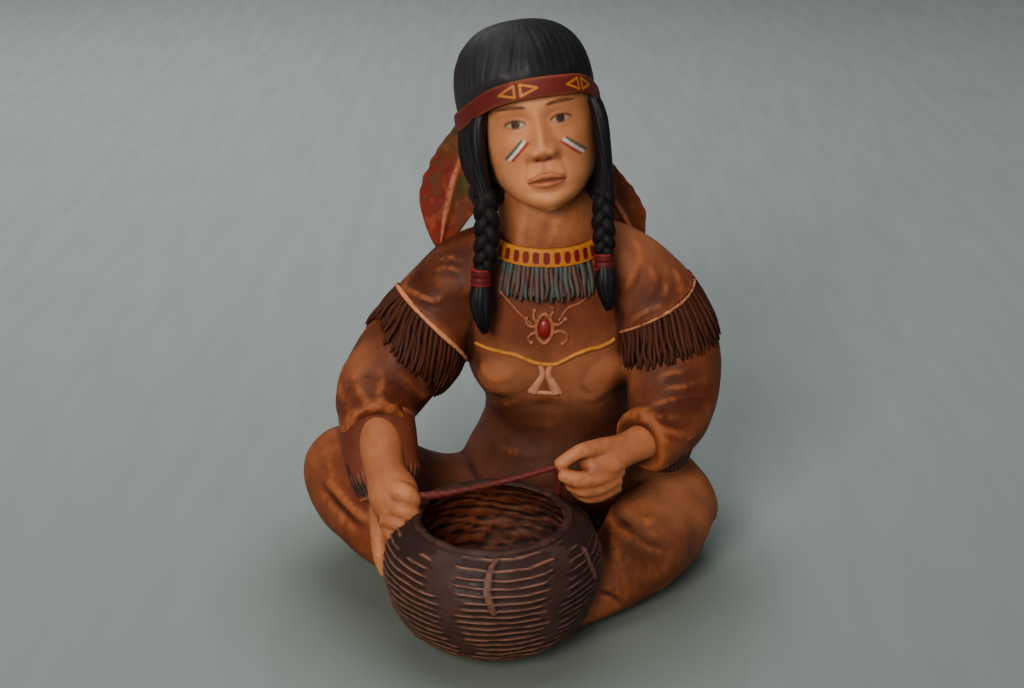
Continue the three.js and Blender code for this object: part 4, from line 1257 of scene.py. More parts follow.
def cap_shape():
    """Crown of the hair: the egg above the headband, drawn in to the band's inside at its lower edge"""
    angle = angles_round(280)[None]
    down = np.linspace(0.02, 1, 90)[:, None]
    radius, level = round_head(BAND_PATH, angle)
    top = CAP_CENTRE[2] + CAP_RADII[2]
    height = level + (top - level) * np.cos(np.pi / 2 * down) ** 0.9
    reach = egg_reach(angle, height)
    pinch = ramp(height - level, 11, 1)
    reach = reach + hair_grooves(angle, 2.2 * down, HAIR_SEED["cap"]) * ramp(down, 0.08, 0.4) * (1 - pinch)
    # A soft dent in front parts the hair
    part = wrapped(angle - math.radians(PARTING))
    reach = reach - 1.6 * bell(part - 0.25 * (down - 0.6), 0.1) * ramp(down, 0.25, 0.45) * (1 - pinch)
    reach = reach * (1 - pinch) + (radius - 1.6) * pinch
    return skin(on_head(head_point(angle, reach, height)))


def mane_shape():
    """Hair from the headband to the nape, between the locks. In front of them it sinks into the head."""
    angle = angles_round(300)[None]
    down = shares(80)[:, None]
    radius, level = round_head(BAND_PATH, angle)
    left, right = math.radians(MANE["left"]), math.radians(MANE["right"])
    back = 0.4 * down ** 1.2
    hair = ramp(angle, left + back - 0.05, left + back + 0.03) * ramp(angle, right - back + 0.05, right - back - 0.03)
    height = level + (MANE["bottom"] * hair - 22 * (1 - hair) - level) * down
    toward = np.where(angle < np.pi, 1, -1)
    flow = angle + toward * 0.5 * down ** 2
    reach = radius - 1.6 + 3.4 * np.sin(np.pi * np.clip(down * 1.15, 0, 1)) ** 0.7 - 9 * down ** 3
    parting = np.abs(angle - np.pi)
    grooves = hair_grooves(flow, 0, HAIR_SEED["mane"], 40)
    reach = reach + 1.3 * grooves * ramp(down, 0.0, 0.15) - 1.8 * bell(parting, 0.035)
    reach = reach * hair + 8 * (1 - hair)
    return skin(on_head(head_point(angle, reach, height)))


def lock_shape(stations, turns=0.3, count=9):
    """Lock of hair: a limb with a count of grooves that turn slowly round it"""
    def lift(share, angle):
        """Height of the grooves: the size of a sine that wanders round the lock, and a finer sine on it"""
        wander = 0.25 * np.sin(5 * share + angle)
        strand = np.abs(np.sin(count / 2 * (angle + 2 * np.pi * turns * share + wander))) - 0.5
        return 6 * GROOVE_DEPTH * (strand + 0.25 * np.sin(2.6 * count * (angle + turns * share)))
    return limb(stations, X, 52, 60, lift=lift, rounded=6)


def braid_shape(stations):
    """Three strands that cross in turn: each swings sideways as a sine and in depth at twice the rate"""
    rows, sides = 110, 20
    share = shares(rows)
    middle, size, _, wide, thick = track(stations, share, X)
    plaits = []
    for strand in range(3):
        turn = 2 * np.pi * (BRAID_CROSSINGS * share / 2 + strand / 3)
        swing = wide * (0.52 * size[:, 0] * np.sin(turn))[:, None]
        path = middle + swing + thick * (0.36 * size[:, 1] * np.sin(2 * turn))[:, None]
        radius = 0.60 * size.mean(1)
        angle = angles_round(sides)[None, :, None]
        groove = 1 + 0.07 * np.cos(8 * (angle + 2.0 * share[:, None, None]))
        side = unit(np.cross(unit(np.gradient(path, axis=0)), Y))
        front = np.cross(side, unit(np.gradient(path, axis=0)))
        ring = side[:, None] * np.cos(angle) + front[:, None] * np.sin(angle)
        plaits.append(skin(path[:, None] + ring * groove * radius[:, None, None]))
    return joined(plaits)


def tie_turns(share, angle):
    """Height of a wound tie: two even turns with a groove between them, a bell at half its length"""
    return 0.4 - 0.5 * bell(share - 0.5, 0.06) + 0 * angle


def build_hair(colours):
    """Crown, mane, locks, braids, tassels and ties. The crown is lighter where the light falls on it."""
    dark = 0.5 * np.array(colours.hair)
    crown = cap_shape()
    lit = 0.6 * ramp(crown.points[:, 0], 14, -14)
    sheen = mixed(coat(colours.hair, crown.points), "hair_sheen", lit)
    make_piece("hair_cap", crown, "hair_paint", sheen, rounds=(3, 20))
    make_piece("hair_mane", mane_shape(), "hair_paint", colours.hair, rounds=(3, 20))
    for side in SIDES:
        for name, shape, finish, paint in (
            ("_bunch", lock_shape(BUNCH[side]), "hair_paint", colours.hair),
            ("_lock", lock_shape(LOCK[side]), "hair_paint", colours.hair),
            ("_braid", braid_shape(BRAID[side]), "braid_paint", dark),
            ("_tassel", lock_shape(TASSEL[side], turns=0.1, count=12), "hair_paint", dark),
        ):
            make_piece(side + name, shape, finish, paint, rounds=(2, 12))
    for side in SIDES:
        wound = limb(TIE[side], X, 40, 30, lift=tie_turns)
        make_piece(side + "_tie", wound, "tie_paint", colours.tie, rounds=(2, 10))


# Headband

def band_hoop(radii, height, thick, rows, sides):
    """Flat band bent to an ellipse: a rounded rectangle carried round it. Also returns angle and height."""
    angle = angles_round(rows)[:, None]
    out, up = band_section(height, thick, sides)
    grid = [(radii[0] + out) * np.cos(angle), (radii[1] + out) * np.sin(angle), up + 0 * angle]
    return np.stack(grid, -1), angle + 0 * up, up + 0 * angle


def band_section(height, thick, sides):
    """Rounded rectangle as distances out and up, in even steps round it"""
    turn = np.linspace(0, 2 * np.pi, 2001)
    out = np.sign(np.cos(turn)) * np.abs(np.cos(turn)) ** 0.6 * thick / 2
    up = np.sign(np.sin(turn)) * np.abs(np.sin(turn)) ** 0.5 * height / 2
    run = np.concatenate([[0], np.cumsum(np.hypot(np.diff(out), np.diff(up)))])
    even = np.linspace(0, run[-1], sides, endpoint=False)
    return np.interp(even, run, out)[None], np.interp(even, run, up)[None]


def triangle_lines(across, up, point_at, base_at, half):
    """Outline of a triangle that lies on its side: 1 on its three edges"""
    share = (across - point_at) / (base_at - point_at)
    edge = np.abs(np.abs(up) - half * share)
    arms = ramp(edge, 0.75, 0.45) * (share > -0.06) * (share < 1.02)
    base = ramp(np.abs(across - base_at), 0.75, 0.45) * (np.abs(up) < half + 0.3)
    return np.maximum(arms, base)


def build_headband(colours):
    """Rounded rectangle carried along the band's path, with outlines of pairs of triangles at an even pitch"""
    rows, sides = 560, 56
    angle = angles_round(rows)[:, None]
    radius, level = round_head(BAND_PATH, angle)
    out, up = band_section(BAND_HEIGHT, BAND_THICK, sides)
    # The band leans with the brow, so its lower edge stands a little further out in front
    lean = 0.12 * up * np.cos(angle)
    grid = head_point(angle, radius - 0.6 + out - lean, level + up)
    along = wrapped(angle) * BAND_GIRTH
    edge = 0.6 * ramp(np.abs(up), 3.2, 4.6) + 0 * angle
    paint = mixed(coat(colours.band, grid), "band_edge", edge)
    pitch, (first, last) = BAND_FIGURES["pitch"], BAND_FIGURES["stretch"]
    place = np.mod(along + BAND_FIGURES["turn"] + pitch / 2, pitch) - pitch / 2
    outer = (out > 0) * (along > first) * (along < last)
    point, base, half = (BAND_FIGURES[key] for key in ("point", "base", "half"))
    for way in (-1, 1):
        line = triangle_lines(place, up, way * point, way * base, half)
        paint = mixed(paint, colours.ochre, line * outer)
    make_piece("headband", hoop(on_head(grid)), "band_paint", paint.reshape(-1, 3), rounds=(2, 12))


# Feathers

def feather_shape(stations, seed):
    """Flat blade with a quill down its middle, slanting barbs and a few splits along its edges"""
    rows, sides = 170, 72
    share = shares(rows)[:, None]
    turn = angles_round(sides)[None]
    middle, size, _, wide, thick = track(stations, share + 0 * turn, X)
    across = np.cos(turn)
    face = np.sign(np.sin(turn)) * np.abs(np.sin(turn)) ** 0.7
    length = np.linalg.norm(np.diff(np.array(stations)[:, :3], axis=0), axis=1).sum()
    barb = share * length + np.abs(across) * size[..., 0] * 0.9
    rng = np.random.default_rng(seed)
    ragged = sum(rng.uniform(0.004, 0.016) * np.sin(k * barb / 12 + rng.uniform(0, 6)) for k in range(2, 10))
    width = size[..., 0] * (1 + ragged * ramp(np.abs(across), 0.6, 1.0)) * np.sqrt(np.clip(1.04 - share ** 8, 0, 1))
    body = 0.35 * size[..., 1] + 0.45 * size[..., 1] * bell(across, 0.12)
    groove = 0.2 * np.abs(np.sin(np.pi * barb / 1.9)) * ramp(np.abs(across), 0.08, 0.3)
    depth = (body + groove) * face
    grid = middle + wide * (width * across)[..., None] + thick * depth[..., None]
    return skin(grid), share + 0 * turn, across + 0 * share


def feather_paint(share, across, colours):
    """Tan and olive at the top, dark red along the outer side, a green patch by the quill, an orange-red tip"""
    return layered(coat(colours.feather_tan, share[..., None]), [
        ("feather_olive", 0.8 * bell(share - 0.2, 0.12) * ramp(across, 0.5, -0.4)),
        (colours.feather_red, ramp(share, 0.3, 0.5) * ramp(across, 0.25, -0.15)),
        ("feather_chestnut", 0.7 * ramp(share, 0.45, 0.7) * ramp(across, 0.1, 0.6)),
        ("feather_green", 0.85 * bell(share - 0.55, 0.06) * bell(across - 0.35, 0.16)),
        ("feather_tip", 0.8 * ramp(share + 0.06 * across, 0.7, 0.9)),
        ("feather_spot", 0.7 * bell(share - 0.84, 0.03) * bell(across - 0.15, 0.2)),
    ])


def build_feathers(colours):
    """Two feathers with patches of moss and a lighter brown, from soft noise drawn out along them"""
    for side in SIDES:
        shape, share, across = feather_shape(FEATHER[side], FEATHER_SEED[side])
        if side == "right":
            paint = feather_paint(share, across, colours)
        else:
            paint = coat(colours.feather_brown, share[..., None])
            paint = mixed(paint, "feather_rust", 0.5 * ramp(across, 0.2, 0.9))
        paint = closed_paint(paint)
        patch = waves(shape.points * [1, 1, 0.7], NOISE["feather"], 11)
        green = 0.55 if side == "right" else 0.12
        paint = mixed(paint, "feather_moss", green * ramp(patch, 0.25, 0.9))
        paint = mixed(paint, "feather_light", 0.5 * ramp(-patch, 0.3, 1.0))
        make_piece(side + "_feather", shape, "feather_paint", paint, rounds=(2, 14))


# Collar and chest

def build_collar(colours):
    """Flared band with a raised cell for each bead, and a fringe of two layers of swaying strands round a thin sheet.
    A cell is a rounded box: the sum of two powers of its distances across and up."""
    tall, thick, count = COLLAR_HEIGHT + 0.4, 3.4, 34
    grid, angle, up = band_hoop(np.array(COLLAR_RADII), tall, thick, rows=400, sides=40)
    # The collar flares towards its lower edge
    flare = (1.4 - 0.22 * up)[..., None] * np.stack([np.cos(angle), np.sin(angle), 0 * angle], -1)
    cell = (np.mod(angle * count / (2 * np.pi), 1) - 0.5) * 2 * np.pi * COLLAR_RADII[0] / count
    bead = (np.abs(cell) / 1.55) ** 3 + (np.abs(up - 0.1) / 3.1) ** 4
    grid = grid + flare - 0.4 * ramp(bead, 1.15, 0.8)[..., None] * unit(flare)
    paint = mixed(coat(colours.ochre, grid), colours.collar_red, ramp(bead, 1.15, 0.85))
    centre = np.array(COLLAR_CENTRE, float)
    ring = grid @ turned(3).T + centre
    make_piece("collar", hoop(ring), "collar_paint", paint.reshape(-1, 3), rounds=(2, 12))

    rng = np.random.default_rng(COLLAR_SEED)
    strand_count = COLLAR_FRINGE["strands"]
    shapes = []
    for layer in range(2):
        angle = 2 * np.pi * (np.arange(strand_count) + 0.5 * layer) / strand_count
        share = shares(20)[None]
        sway = np.sin(share * rng.uniform(3, 9, (strand_count, 1)) + rng.uniform(0, 6, (strand_count, 1)))
        spun = angle[:, None] + 0.022 * sway * share
        reach = COLLAR_FRINGE["flare"] * share + 0.4 + 0.9 * layer + 0.3 * sway
        drop = COLLAR_FRINGE["drop"] * rng.uniform(0.9, 1.04, (strand_count, 1)) * share
        lines = np.stack([
            centre[0] + (COLLAR_RADII[0] + reach) * np.cos(spun),
            centre[1] + (COLLAR_RADII[1] + reach) * np.sin(spun),
            centre[2] - COLLAR_HEIGHT / 2 - 0.4 - drop,
        ], -1)
        outs = np.stack([np.cos(spun), np.sin(spun), 0.25 + 0 * spun], -1)
        shapes.append(strands(lines, unit(outs), 1.5, 1.5))
    share = shares(16)[:, None]
    angle = angles_round(120)[None]
    sheets = [[
        centre[0] + (COLLAR_RADII[0] + COLLAR_FRINGE["flare"] * share + skirt) * np.cos(angle),
        centre[1] + (COLLAR_RADII[1] + COLLAR_FRINGE["flare"] * share + skirt) * np.sin(angle),
        centre[2] - COLLAR_HEIGHT / 2 - 0.86 * COLLAR_FRINGE["drop"] * share + 0 * angle,
    ] for skirt in (0.2, -1.6)]
    outer, inner = (np.stack(sheet, -1) for sheet in sheets)
    shapes.append(hoop(np.concatenate([outer, inner[::-1]])))
    shape = joined(shapes)
    tint = waves(shape.points * [1, 1, 0.25], NOISE["collar"], 9)
    paint = mixed(coat(colours.grey_fringe, shape.points), "collar_fringe_rust", ramp(tint, -0.1, 0.5))
    paint = mixed(paint, "collar_fringe_slate", 0.7 * ramp(-tint, 0.1, 0.8))
    make_piece("collar_fringe", shape, "grey_fringe_paint", paint, rounds=(2, 8))


def cord_on_chest(line, radius, rows=60, lift=0.4, taper=0.0):
    """Round cord along points given across and up on the chest"""
    place = spline(line, shares(rows))
    path = chest_point(place[:, 0], place[:, 1], lift)
    along = unit(np.gradient(path, axis=0))
    side = unit(np.cross(along, -Y))
    out = np.cross(side, along)
    turn = angles_round(12)[None, :, None]
    size = radius * (1 - taper * shares(rows))[:, None, None]
    return skin(path[:, None] + size * (side[:, None] * np.cos(turn) + out[:, None] * np.sin(turn)))


def tendril(line):
    """Stem that leaves the medallion and curls over at its end, with a small knob"""
    path = spline(line, shares(9)) + [MEDALLION["x"], MEDALLION["z"]]
    stem = cord_on_chest(path, 1.0, lift=0.2, taper=0.25)
    return [stem, ball(chest_point(*path[-1], 0.5), (1.3, 1.2, 1.3), 16)]


def build_chest(colours):
    """Medallion with its tendrils and cords, a line and a tepee, all round cords laid on the chest. The medallion's
    leaf is an ellipse with a point at its top and bottom."""
    x, z = MEDALLION["x"], MEDALLION["z"]
    wide, tall = MEDALLION["radii"]
    jewel = ball(chest_point(np.array(x), np.array(z), 0.3), (wide - 1.0, 2.2, tall - 1.8))
    make_piece("medallion_jewel", jewel, "jewel_paint", colours.jewel)
    turn = np.linspace(0, 2 * np.pi, 33)
    leaf = np.stack([x + wide * np.cos(turn), z + (tall + 0.9 * np.abs(np.sin(turn)) ** 9) * np.sin(turn)], 1)
    parts = [cord_on_chest(leaf, 1.1, rows=120)]
    for line in MEDALLION["tendrils"]:
        parts += tendril(line)
    cords = joined([cord_on_chest(line, 0.7, rows=50, lift=0.2) for line in MEDALLION_CORDS])
    make_piece("medallion_frame", joined(parts), "frame_paint", colours.motif)
    make_piece("medallion_cords", cords, "frame_paint", colours.cord)

    line = spline(CHEST_LINE, shares(60))
    make_piece("chest_line", cord_on_chest(line, 1.1, rows=240), "line_paint", colours.line)

    # Two legs that cross near their tips and broaden downwards, and a ground line, stand for a tepee
    legs = [[[TEPEE["x"] + way * across, height] for across, height in TEPEE["leg"]] for way in (-1, 1)]
    poles = [cord_on_chest(leg, 1.5, lift=-0.4, taper=-1.1) for leg in legs]
    poles.append(cord_on_chest(TEPEE["ground"], 1.4, lift=0.3))
    make_piece("tepee_motif", joined(poles), "tepee_paint", colours.tepee)


# Hands

def hand_shape(forearm, fingers, grain):
    """Forearm and fingers cast as one skin and softened a little, so that the fingers stay apart"""
    parts = [limb(forearm, X, 48, 60, rounded=6)]
    parts += [limb(finger, Z, 28, 40, rounded=6) for finger in fingers]
    cast = remeshed(joined(parts), grain)
    edges = edges_of(cast)
    return moved(cast, smoothed(cast.points, edges, 2))


def build_hands(sizes, colours):
    """Cast hands with painted shade on their skin, and cuffs whose paint turns dark where their strands begin"""
    for side in SIDES:
        shape = hand_shape(FOREARM[side], FINGERS[side], sizes.hand_grain)
        # Each hand's skin is painted darker as shade, the left one more
        shaded_hand = mixed(colours.skin, "shaded_skin", HAND_SHADE[side])
        make_piece(side + "_hand", shape, "skin_paint", shaded_hand, rounds=(6, 40))
    for side, hang in CUFF_HANG.items():
        shape = limb(CUFF[side], X, 170, 64, lift=lambda share, angle: cuff_strands(share, angle, hang))
        top, bottom = CUFF[side][0][2], CUFF[side][-1][2]
        share = (top - shape.points[:, 2]) / (top - bottom) + 0.12 * waves(shape.points, NOISE["cuff"], 12)
        paint = mixed(coat(colours.buckskin, shape.points), colours.cuff_fringe, ramp(share, hang, hang + 0.15))
        make_piece(side + "_cuff", shape, "cuff_paint", paint, rounds=(2, 16))


def cuff_strands(share, angle, hang):
    """Height of a cuff: smooth by the sleeve and cut into strands below, like a short fringe"""
    strand = np.abs(np.sin(17 * angle + 1.5 * np.sin(4 * share + angle))) ** 0.7
    return 0.9 * strand * ramp(share, hang, hang + 0.12)


# Basket

def figure_mask(figures, angle, height, soft):
    """1 inside upright figures, each of them [height, middle, half width] down the wall, in mm and degrees"""
    total = 0 * (angle + height)
    for figure in figures:
        level, middle, half = np.array(figure, float)[::-1].T
        here = np.radians(np.interp(height, level, middle))
        wide = np.radians(np.interp(height, level, half)) * ramp(height, level[0] - 1, level[0] + 1)
        off = np.abs(wrapped(angle - here))
        total = np.maximum(total, ramp(off, wide + soft, np.maximum(wide - soft, 0)) * (wide > 0.01))
    return total


def turned_figure(figure, turn):
    """The same figure further round the wall"""
    return [[level, middle + turn, half] for level, middle, half in figure]


BASKET_FIGURES = [WIDE_FIGURE, SLIM_FIGURE]
BASKET_FIGURES += [turned_figure(WIDE_FIGURE, turn) for turn in (128, 205, 285)]
BASKET_FIGURES += [turned_figure(SLIM_FIGURE, turn) for turn in (122, 200)]
BASKET_SPLINTS = [turned_figure(SPLINT, turn) for turn in (0, 66, 136, 195, 270)]


def basket_shape():
    """Bowl turned about its axis: thin coil rows outside, broken by smooth figures, and wavy rows inside"""
    rings = BASKET_RINGS
    outer = spline(BASKET_OUTLINE, shares(rings["outer"]))
    inner = spline(BASKET_OUTLINE, 1 - BASKET_INSIDE * shares(rings["inner"]))
    inner[:, 0] -= BASKET_WALL
    inner[:, 1] = np.maximum(inner[:, 1], BASKET_FLOOR)
    lip_turn = np.linspace(0, np.pi, rings["lip"] + 2)[1:-1]
    lip_middle = (outer[-1] + inner[0]) / 2
    lip = lip_middle + BASKET_WALL / 2 * np.stack([np.cos(lip_turn), 0.7 * np.sin(lip_turn)], 1)
    narrowing, widening = np.linspace(1, 0.04, rings["floor"] + 1)[1:], np.linspace(0.05, 1, rings["base"] + 1)[:-1]
    floor = np.stack([inner[-1, 0] * narrowing, np.full(rings["floor"], BASKET_FLOOR)], 1)
    base = np.stack([outer[0, 0] * widening, np.zeros(rings["base"])], 1)
    profile = np.vstack([base, outer, lip, inner, floor])
    zone = np.repeat([BASE, WALL, LIP, INNER, INNER], list(rings.values()))
    run = np.concatenate([[0], np.cumsum(np.linalg.norm(np.diff(profile, axis=0), axis=1))])[:, None]
    slope = unit(np.gradient(profile, axis=0))
    out = np.stack([slope[:, 1], -slope[:, 0]], 1)
    angle = angles_round(BASKET_SIDES, -np.pi)[None]
    z, kind = profile[:, 1, None], zone[:, None] + 0 * angle
    ragged = angle + 0.03 * np.sin(1.1 * z + 2 * angle) + 0.025 * np.sin(2.9 * z) + 0.02 * np.sin(0.45 * z + 1)
    smooth = figure_mask(BASKET_FIGURES, ragged, z, 0.025)
    splint = figure_mask(BASKET_SPLINTS, angle, z, 0.012)
    shoulder = 69 - 8 * bell(angle + 1.06, 0.17) - 7 * ramp(angle, 0.95, 1.2) * ramp(angle, 2.6, 2.2)
    plain = ramp(z, shoulder, shoulder - 1.2) * ramp(z, 1.0, 4.0) * (kind == WALL)
    lift = 0.4 * np.sin(3 * angle + 1) + 0.22 * np.sin(7 * angle + 0.1 * z) + 0.1 * np.sin(19 * angle + z * 0.4)
    row = np.mod((z + lift) / ROW_PITCH, 1) - 0.5
    worn_away = 0.6 + 0.4 * np.sin(angle * 9 + z * 2.3) * np.sin(angle * 23 + z * 1.1)
    rows = plain * (1 - smooth) * (1 - splint) * bell(row, 0.11) * np.clip(worn_away + 0.35, 0, 1)
    drift = 2.4 * np.sin(2 * angle + 0.7) + 1.5 * np.sin(5 * angle + 2) + 1.0 * np.sin(9 * angle + run / 3)
    drift = drift + 0.6 * np.sin(17 * angle - run / 2)
    weave = np.abs(np.sin(np.pi * (run + drift) / WEAVE_PITCH)) ** 0.7 - 0.5
    inside = (kind == INNER) * ramp(z, 68, 62)
    rough = np.sin(21 * angle + 0.7 * run) * np.sin(11 * angle - 1.1 * run) + 0.6 * np.sin(15 * angle - 0.5 * run)
    uneven = 0.9 + 0.35 * np.sin(4 * angle + run / 2) + 0.25 * np.sin(11 * angle - run)
    woven = inside * (weave * uneven + 0.24 * rough)
    lumps = 0.3 * np.sin(5 * angle + 0.1 * z) * np.sin(0.22 * z + 3 * angle) + 0.2 * np.sin(13 * angle - 0.3 * z)
    height = 0.95 * rows + plain * (0.35 * smooth + 1.2 * splint) + woven + lumps * ramp(z, 0.5, 4) * (kind < INNER)
    radius = profile[:, 0, None] + out[:, 0, None] * height
    level = np.maximum(z + out[:, 1, None] * height, 0)
    spot = [BASKET_CENTRE[0] + radius * np.sin(angle), BASKET_CENTRE[1] - radius * np.cos(angle), level]
    return skin(np.stack(spot, -1)), rows, splint * plain, inside, smooth * plain, angle + 0 * z


def build_basket(colours):
    """The turned basket, with its rows worn lighter but faded by painted shade near one side, and painted shade
    inside it that deepens towards the right
    """
    shape, rows, splint, inside, smooth, angle = basket_shape()
    # Near one side the rows' worn edges fade, as painted shade and as less rubbing there
    rows_out_of_shade = 0.3 + 0.7 * ramp(np.abs(wrapped(angle - 1.15)), 0.3, 0.6)
    ground = coat(colours.basket, rows[..., None])
    # Painted shade inside the bowl, deepening towards the right
    depth = mixed(coat(paint_of("basket_inside"), ground), paint_of("basket_inside_shade"), ramp(np.sin(angle), -0.2, 0.8))
    paint = layered(ground, [
        ("basket_front", 0.7 * bell(angle + 0.2, 0.6)),
        ("basket_figure", 0.8 * smooth),
        (colours.basket_row, np.clip(rows, 0, 1) ** 2 * rows_out_of_shade),
        ("basket_splint", 0.6 * splint),
        (depth, 0.9 * inside),
    ])
    make_piece("basket", shape, "basket_paint", closed_paint(paint))


def build_strand(colours):
    """A round strand from hand to hand and a tail of it"""
    def twist(share, angle):
        """Height of two ridges that turn seven times round the strand, which narrows along its length"""
        return 0.1 * np.cos(2 * (angle - 2 * np.pi * 7 * share)) - 0.3 - 0.6 * ramp(share, 0.1, 0.8)
    parts = [limb(stations, Z, 24, 100, lift=twist) for stations in (STRAND, STRAND_TAIL)]
    make_piece("strand", joined(parts), "strand_paint", colours.strand, rounds=(2, 8))


# Stage

def build_stage(colours):
    """Plain floor, soft lamps and the picture's camera. The floor's colour changes with distance: painted light grows
    to the far side and across it, a painted shadow lies under the figurine, and faint streaks run along it."""
    corners = FLOOR_HALF * np.array([[-1, -1, 0], [1, -1, 0], [1, 1, 0], [-1, 1, 0]])
    mesh = mesh_of("floor", Shape(corners, np.array([[0, 1, 2, 3]])))
    floor = placed("floor", mesh)
    material = bpy.data.materials.new("floor_paint")
    material.use_nodes = True
    tree = material.node_tree
    place = node(tree, "ShaderNodeTexCoord").outputs["Object"]
    across, ahead, _ = node(tree, "ShaderNodeSeparateXYZ", {0: place}).outputs
    left, right, contact_shadow, streak = (
        (*paint_of("floor_" + name), 1) for name in ("lit_far_left", "lit_far_right", "contact_shadow", "streak")
    )
    # Painted light: the floor grows lighter to the far side, most of all at the far left
    far = blended(tree, ranged(tree, across, -0.7, 0.6), left, right)
    paint = blended(tree, ranged(tree, ahead, -0.5, 1.7), (*colours.floor, 1), far)
    reach = node(tree, "ShaderNodeVectorMath", {0: place}, operation="LENGTH").outputs["Value"]
    # Painted shadow round the figurine's footing
    paint = blended(tree, ranged(tree, reach, 0.18, 0.08, 0.0, 0.75), paint, contact_shadow)
    brushed = noise(tree, place, 60.0, 3.0, (1, 0.12, 1))
    paint = blended(tree, ranged(tree, brushed, 0.3, 0.7, 0.0, 0.1), paint, streak)
    shader = tree.nodes["Principled BSDF"]
    shader.inputs["Roughness"].default_value = FLOOR_ROUGHNESS
    tree.links.new(paint, shader.inputs["Base Color"])
    mesh.materials.append(material)
    for name, place, size, power, tint in LAMPS:
        lamp = bpy.data.lights.new(name, "AREA")
        lamp.size, lamp.energy, lamp.color = size, power, tint
        holder = placed(name, lamp)
        holder.location = place
        holder.rotation_euler = look_angles(np.array(LAMP_AIM) - np.array(place))
    world = bpy.data.worlds.new("studio")
    bpy.context.scene.world = world
    world.use_nodes = True
    sky = world.node_tree.nodes["Background"].inputs
    sky["Color"].default_value, sky["Strength"].default_value = STUDIO_TINT, STUDIO_STRENGTH
    lens = bpy.data.cameras.new("camera")
    lens.sensor_width = SENSOR
    lens.lens = SENSOR * PICTURE["focal"] / PICTURE["width"]
    camera = placed("camera", lens)
    camera.location = np.array(PICTURE["place"]) * MM
    camera.rotation_euler = (math.radians(90 - PICTURE["pitch"]), 0, 0)
    bpy.context.scene.camera = camera


def look_angles(aim):
    """Turns about X and Z that point an object's -Z along a direction"""
    flat = math.hypot(aim[0], aim[1])
    return (math.atan2(flat, -aim[2]), 0, math.atan2(-aim[0], aim[1]))


# Add-on

def shade_property(name, description, red, green, blue):
    """Colour property from 0 to 255 display values"""
    return bpy.props.FloatVectorProperty(name=name, description=description, subtype="COLOR", size=3, min=0, max=1,
                                         default=tuple(colour(red, green, blue)))


class FigurineSizes(PropertyGroup):
    """Sizes of the figurine's surface detail, in millimetres"""
    dress_grain: bpy.props.FloatProperty(name="Dress grain", description="Size of the dress's mesh cells in mm",
                                         default=1.6, min=1.0, max=4.0)
    hand_grain: bpy.props.FloatProperty(name="Hand grain", description="Size of the hands' mesh cells in mm",
                                        default=0.85, min=0.5, max=2.0)
    fold_depth: bpy.props.FloatProperty(name="Fold depth", description="Share of the folds' drawn height",
                                        default=1.0, min=0.0, max=2.0, subtype="FACTOR")


class FigurineColours(PropertyGroup):
    """Paints of the figurine"""
    buckskin: shade_property("Buckskin", "Dress, sleeves and leggings", 98, 42, 20)
    pale_and_highlight_buckskin: shade_property("Worn buckskin", "Lighter places of the dress", 160, 99, 66)
    belly_shade: shade_property("Belly", "Shaded front of the dress", 57, 22, 9)
    lap: shade_property("Lap", "Dress between the legs", 84, 47, 33)
    skin: shade_property("Skin", "Face, neck and hands", 162, 94, 56)
    lips: shade_property("Lips", "Lips", 150, 70, 46)
    hair: shade_property("Hair", "Hair and braids", 21, 18, 21)
    band: shade_property("Headband", "Ground of the headband", 92, 24, 17)
    ochre: shade_property("Ochre", "Collar, chest line and band figures", 182, 104, 18)
    collar_red: shade_property("Collar red", "Figures of the collar", 108, 20, 10)
    grey_fringe: shade_property("Grey fringe", "Fringe of the collar", 46, 38, 30)
    tie: shade_property("Ties", "Ties of the braids", 76, 5, 8)
    fringe: shade_property("Shoulder fringe", "Fringes of the sleeves", 28, 10, 4)
    cuff_fringe: shade_property("Cuff fringe", "Edge of the cuffs", 40, 24, 22)
    piping: shade_property("Piping", "Rolled edge of the yokes", 176, 98, 56)
    jewel: shade_property("Jewel", "Middle of the medallion", 118, 14, 10)
    motif: shade_property("Motif", "Frame of the medallion", 120, 62, 38)
    cord: shade_property("Cords", "Cords of the medallion", 124, 62, 34)
    line: shade_property("Line", "Line across the chest", 172, 98, 20)
    tepee: shade_property("Tepee", "Tepee on the chest", 168, 106, 78)
    feather_tan: shade_property("Feather tan", "Feather beside the face", 116, 64, 36)
    feather_red: shade_property("Feather red", "Red side of a feather", 112, 32, 20)
    feather_brown: shade_property("Feather brown", "Feather behind the shoulder", 104, 50, 24)
    stripe_green: shade_property("Green stripe", "Upper cheek stripe", 48, 82, 62)
    stripe_white: shade_property("White stripe", "Middle cheek stripe", 214, 204, 200)
    stripe_red: shade_property("Red stripe", "Lower cheek stripe", 156, 36, 46)
    basket: shade_property("Basket", "Ground of the basket", 38, 18, 13)
    basket_row: shade_property("Basket rows", "Worn edges of the basket's rows", 134, 90, 72)
    strand: shade_property("Strand", "Strand between the hands", 84, 24, 16)
    floor: shade_property("Floor", "Floor of the stage", 114, 126, 121)


class FIGURINE_OT_dress(Operator):
    """Casts the dress, its sleeves and the legs"""
    bl_idname = "figurine.dress"
    bl_label = "Dress"

    def execute(self, context):
        build_dress(context.scene.figurine_sizes, context.scene.figurine_colours)
        return {"FINISHED"}


class FIGURINE_OT_fringes(Operator):
    """Adds the yoke edges and their fringes"""
    bl_idname = "figurine.fringes"
    bl_label = "Shoulder fringes"

    def execute(self, context):
        build_fringes(context.scene.figurine_colours)
        return {"FINISHED"}


class FIGURINE_OT_head(Operator):
    """Models and paints the face and the neck"""
    bl_idname = "figurine.head"
    bl_label = "Head"

    def execute(self, context):
        build_head(context.scene.figurine_colours)
        return {"FINISHED"}


class FIGURINE_OT_hair(Operator):
    """Adds the hair, locks, braids and ties"""
    bl_idname = "figurine.hair"
    bl_label = "Hair"

    def execute(self, context):
        build_hair(context.scene.figurine_colours)
        return {"FINISHED"}


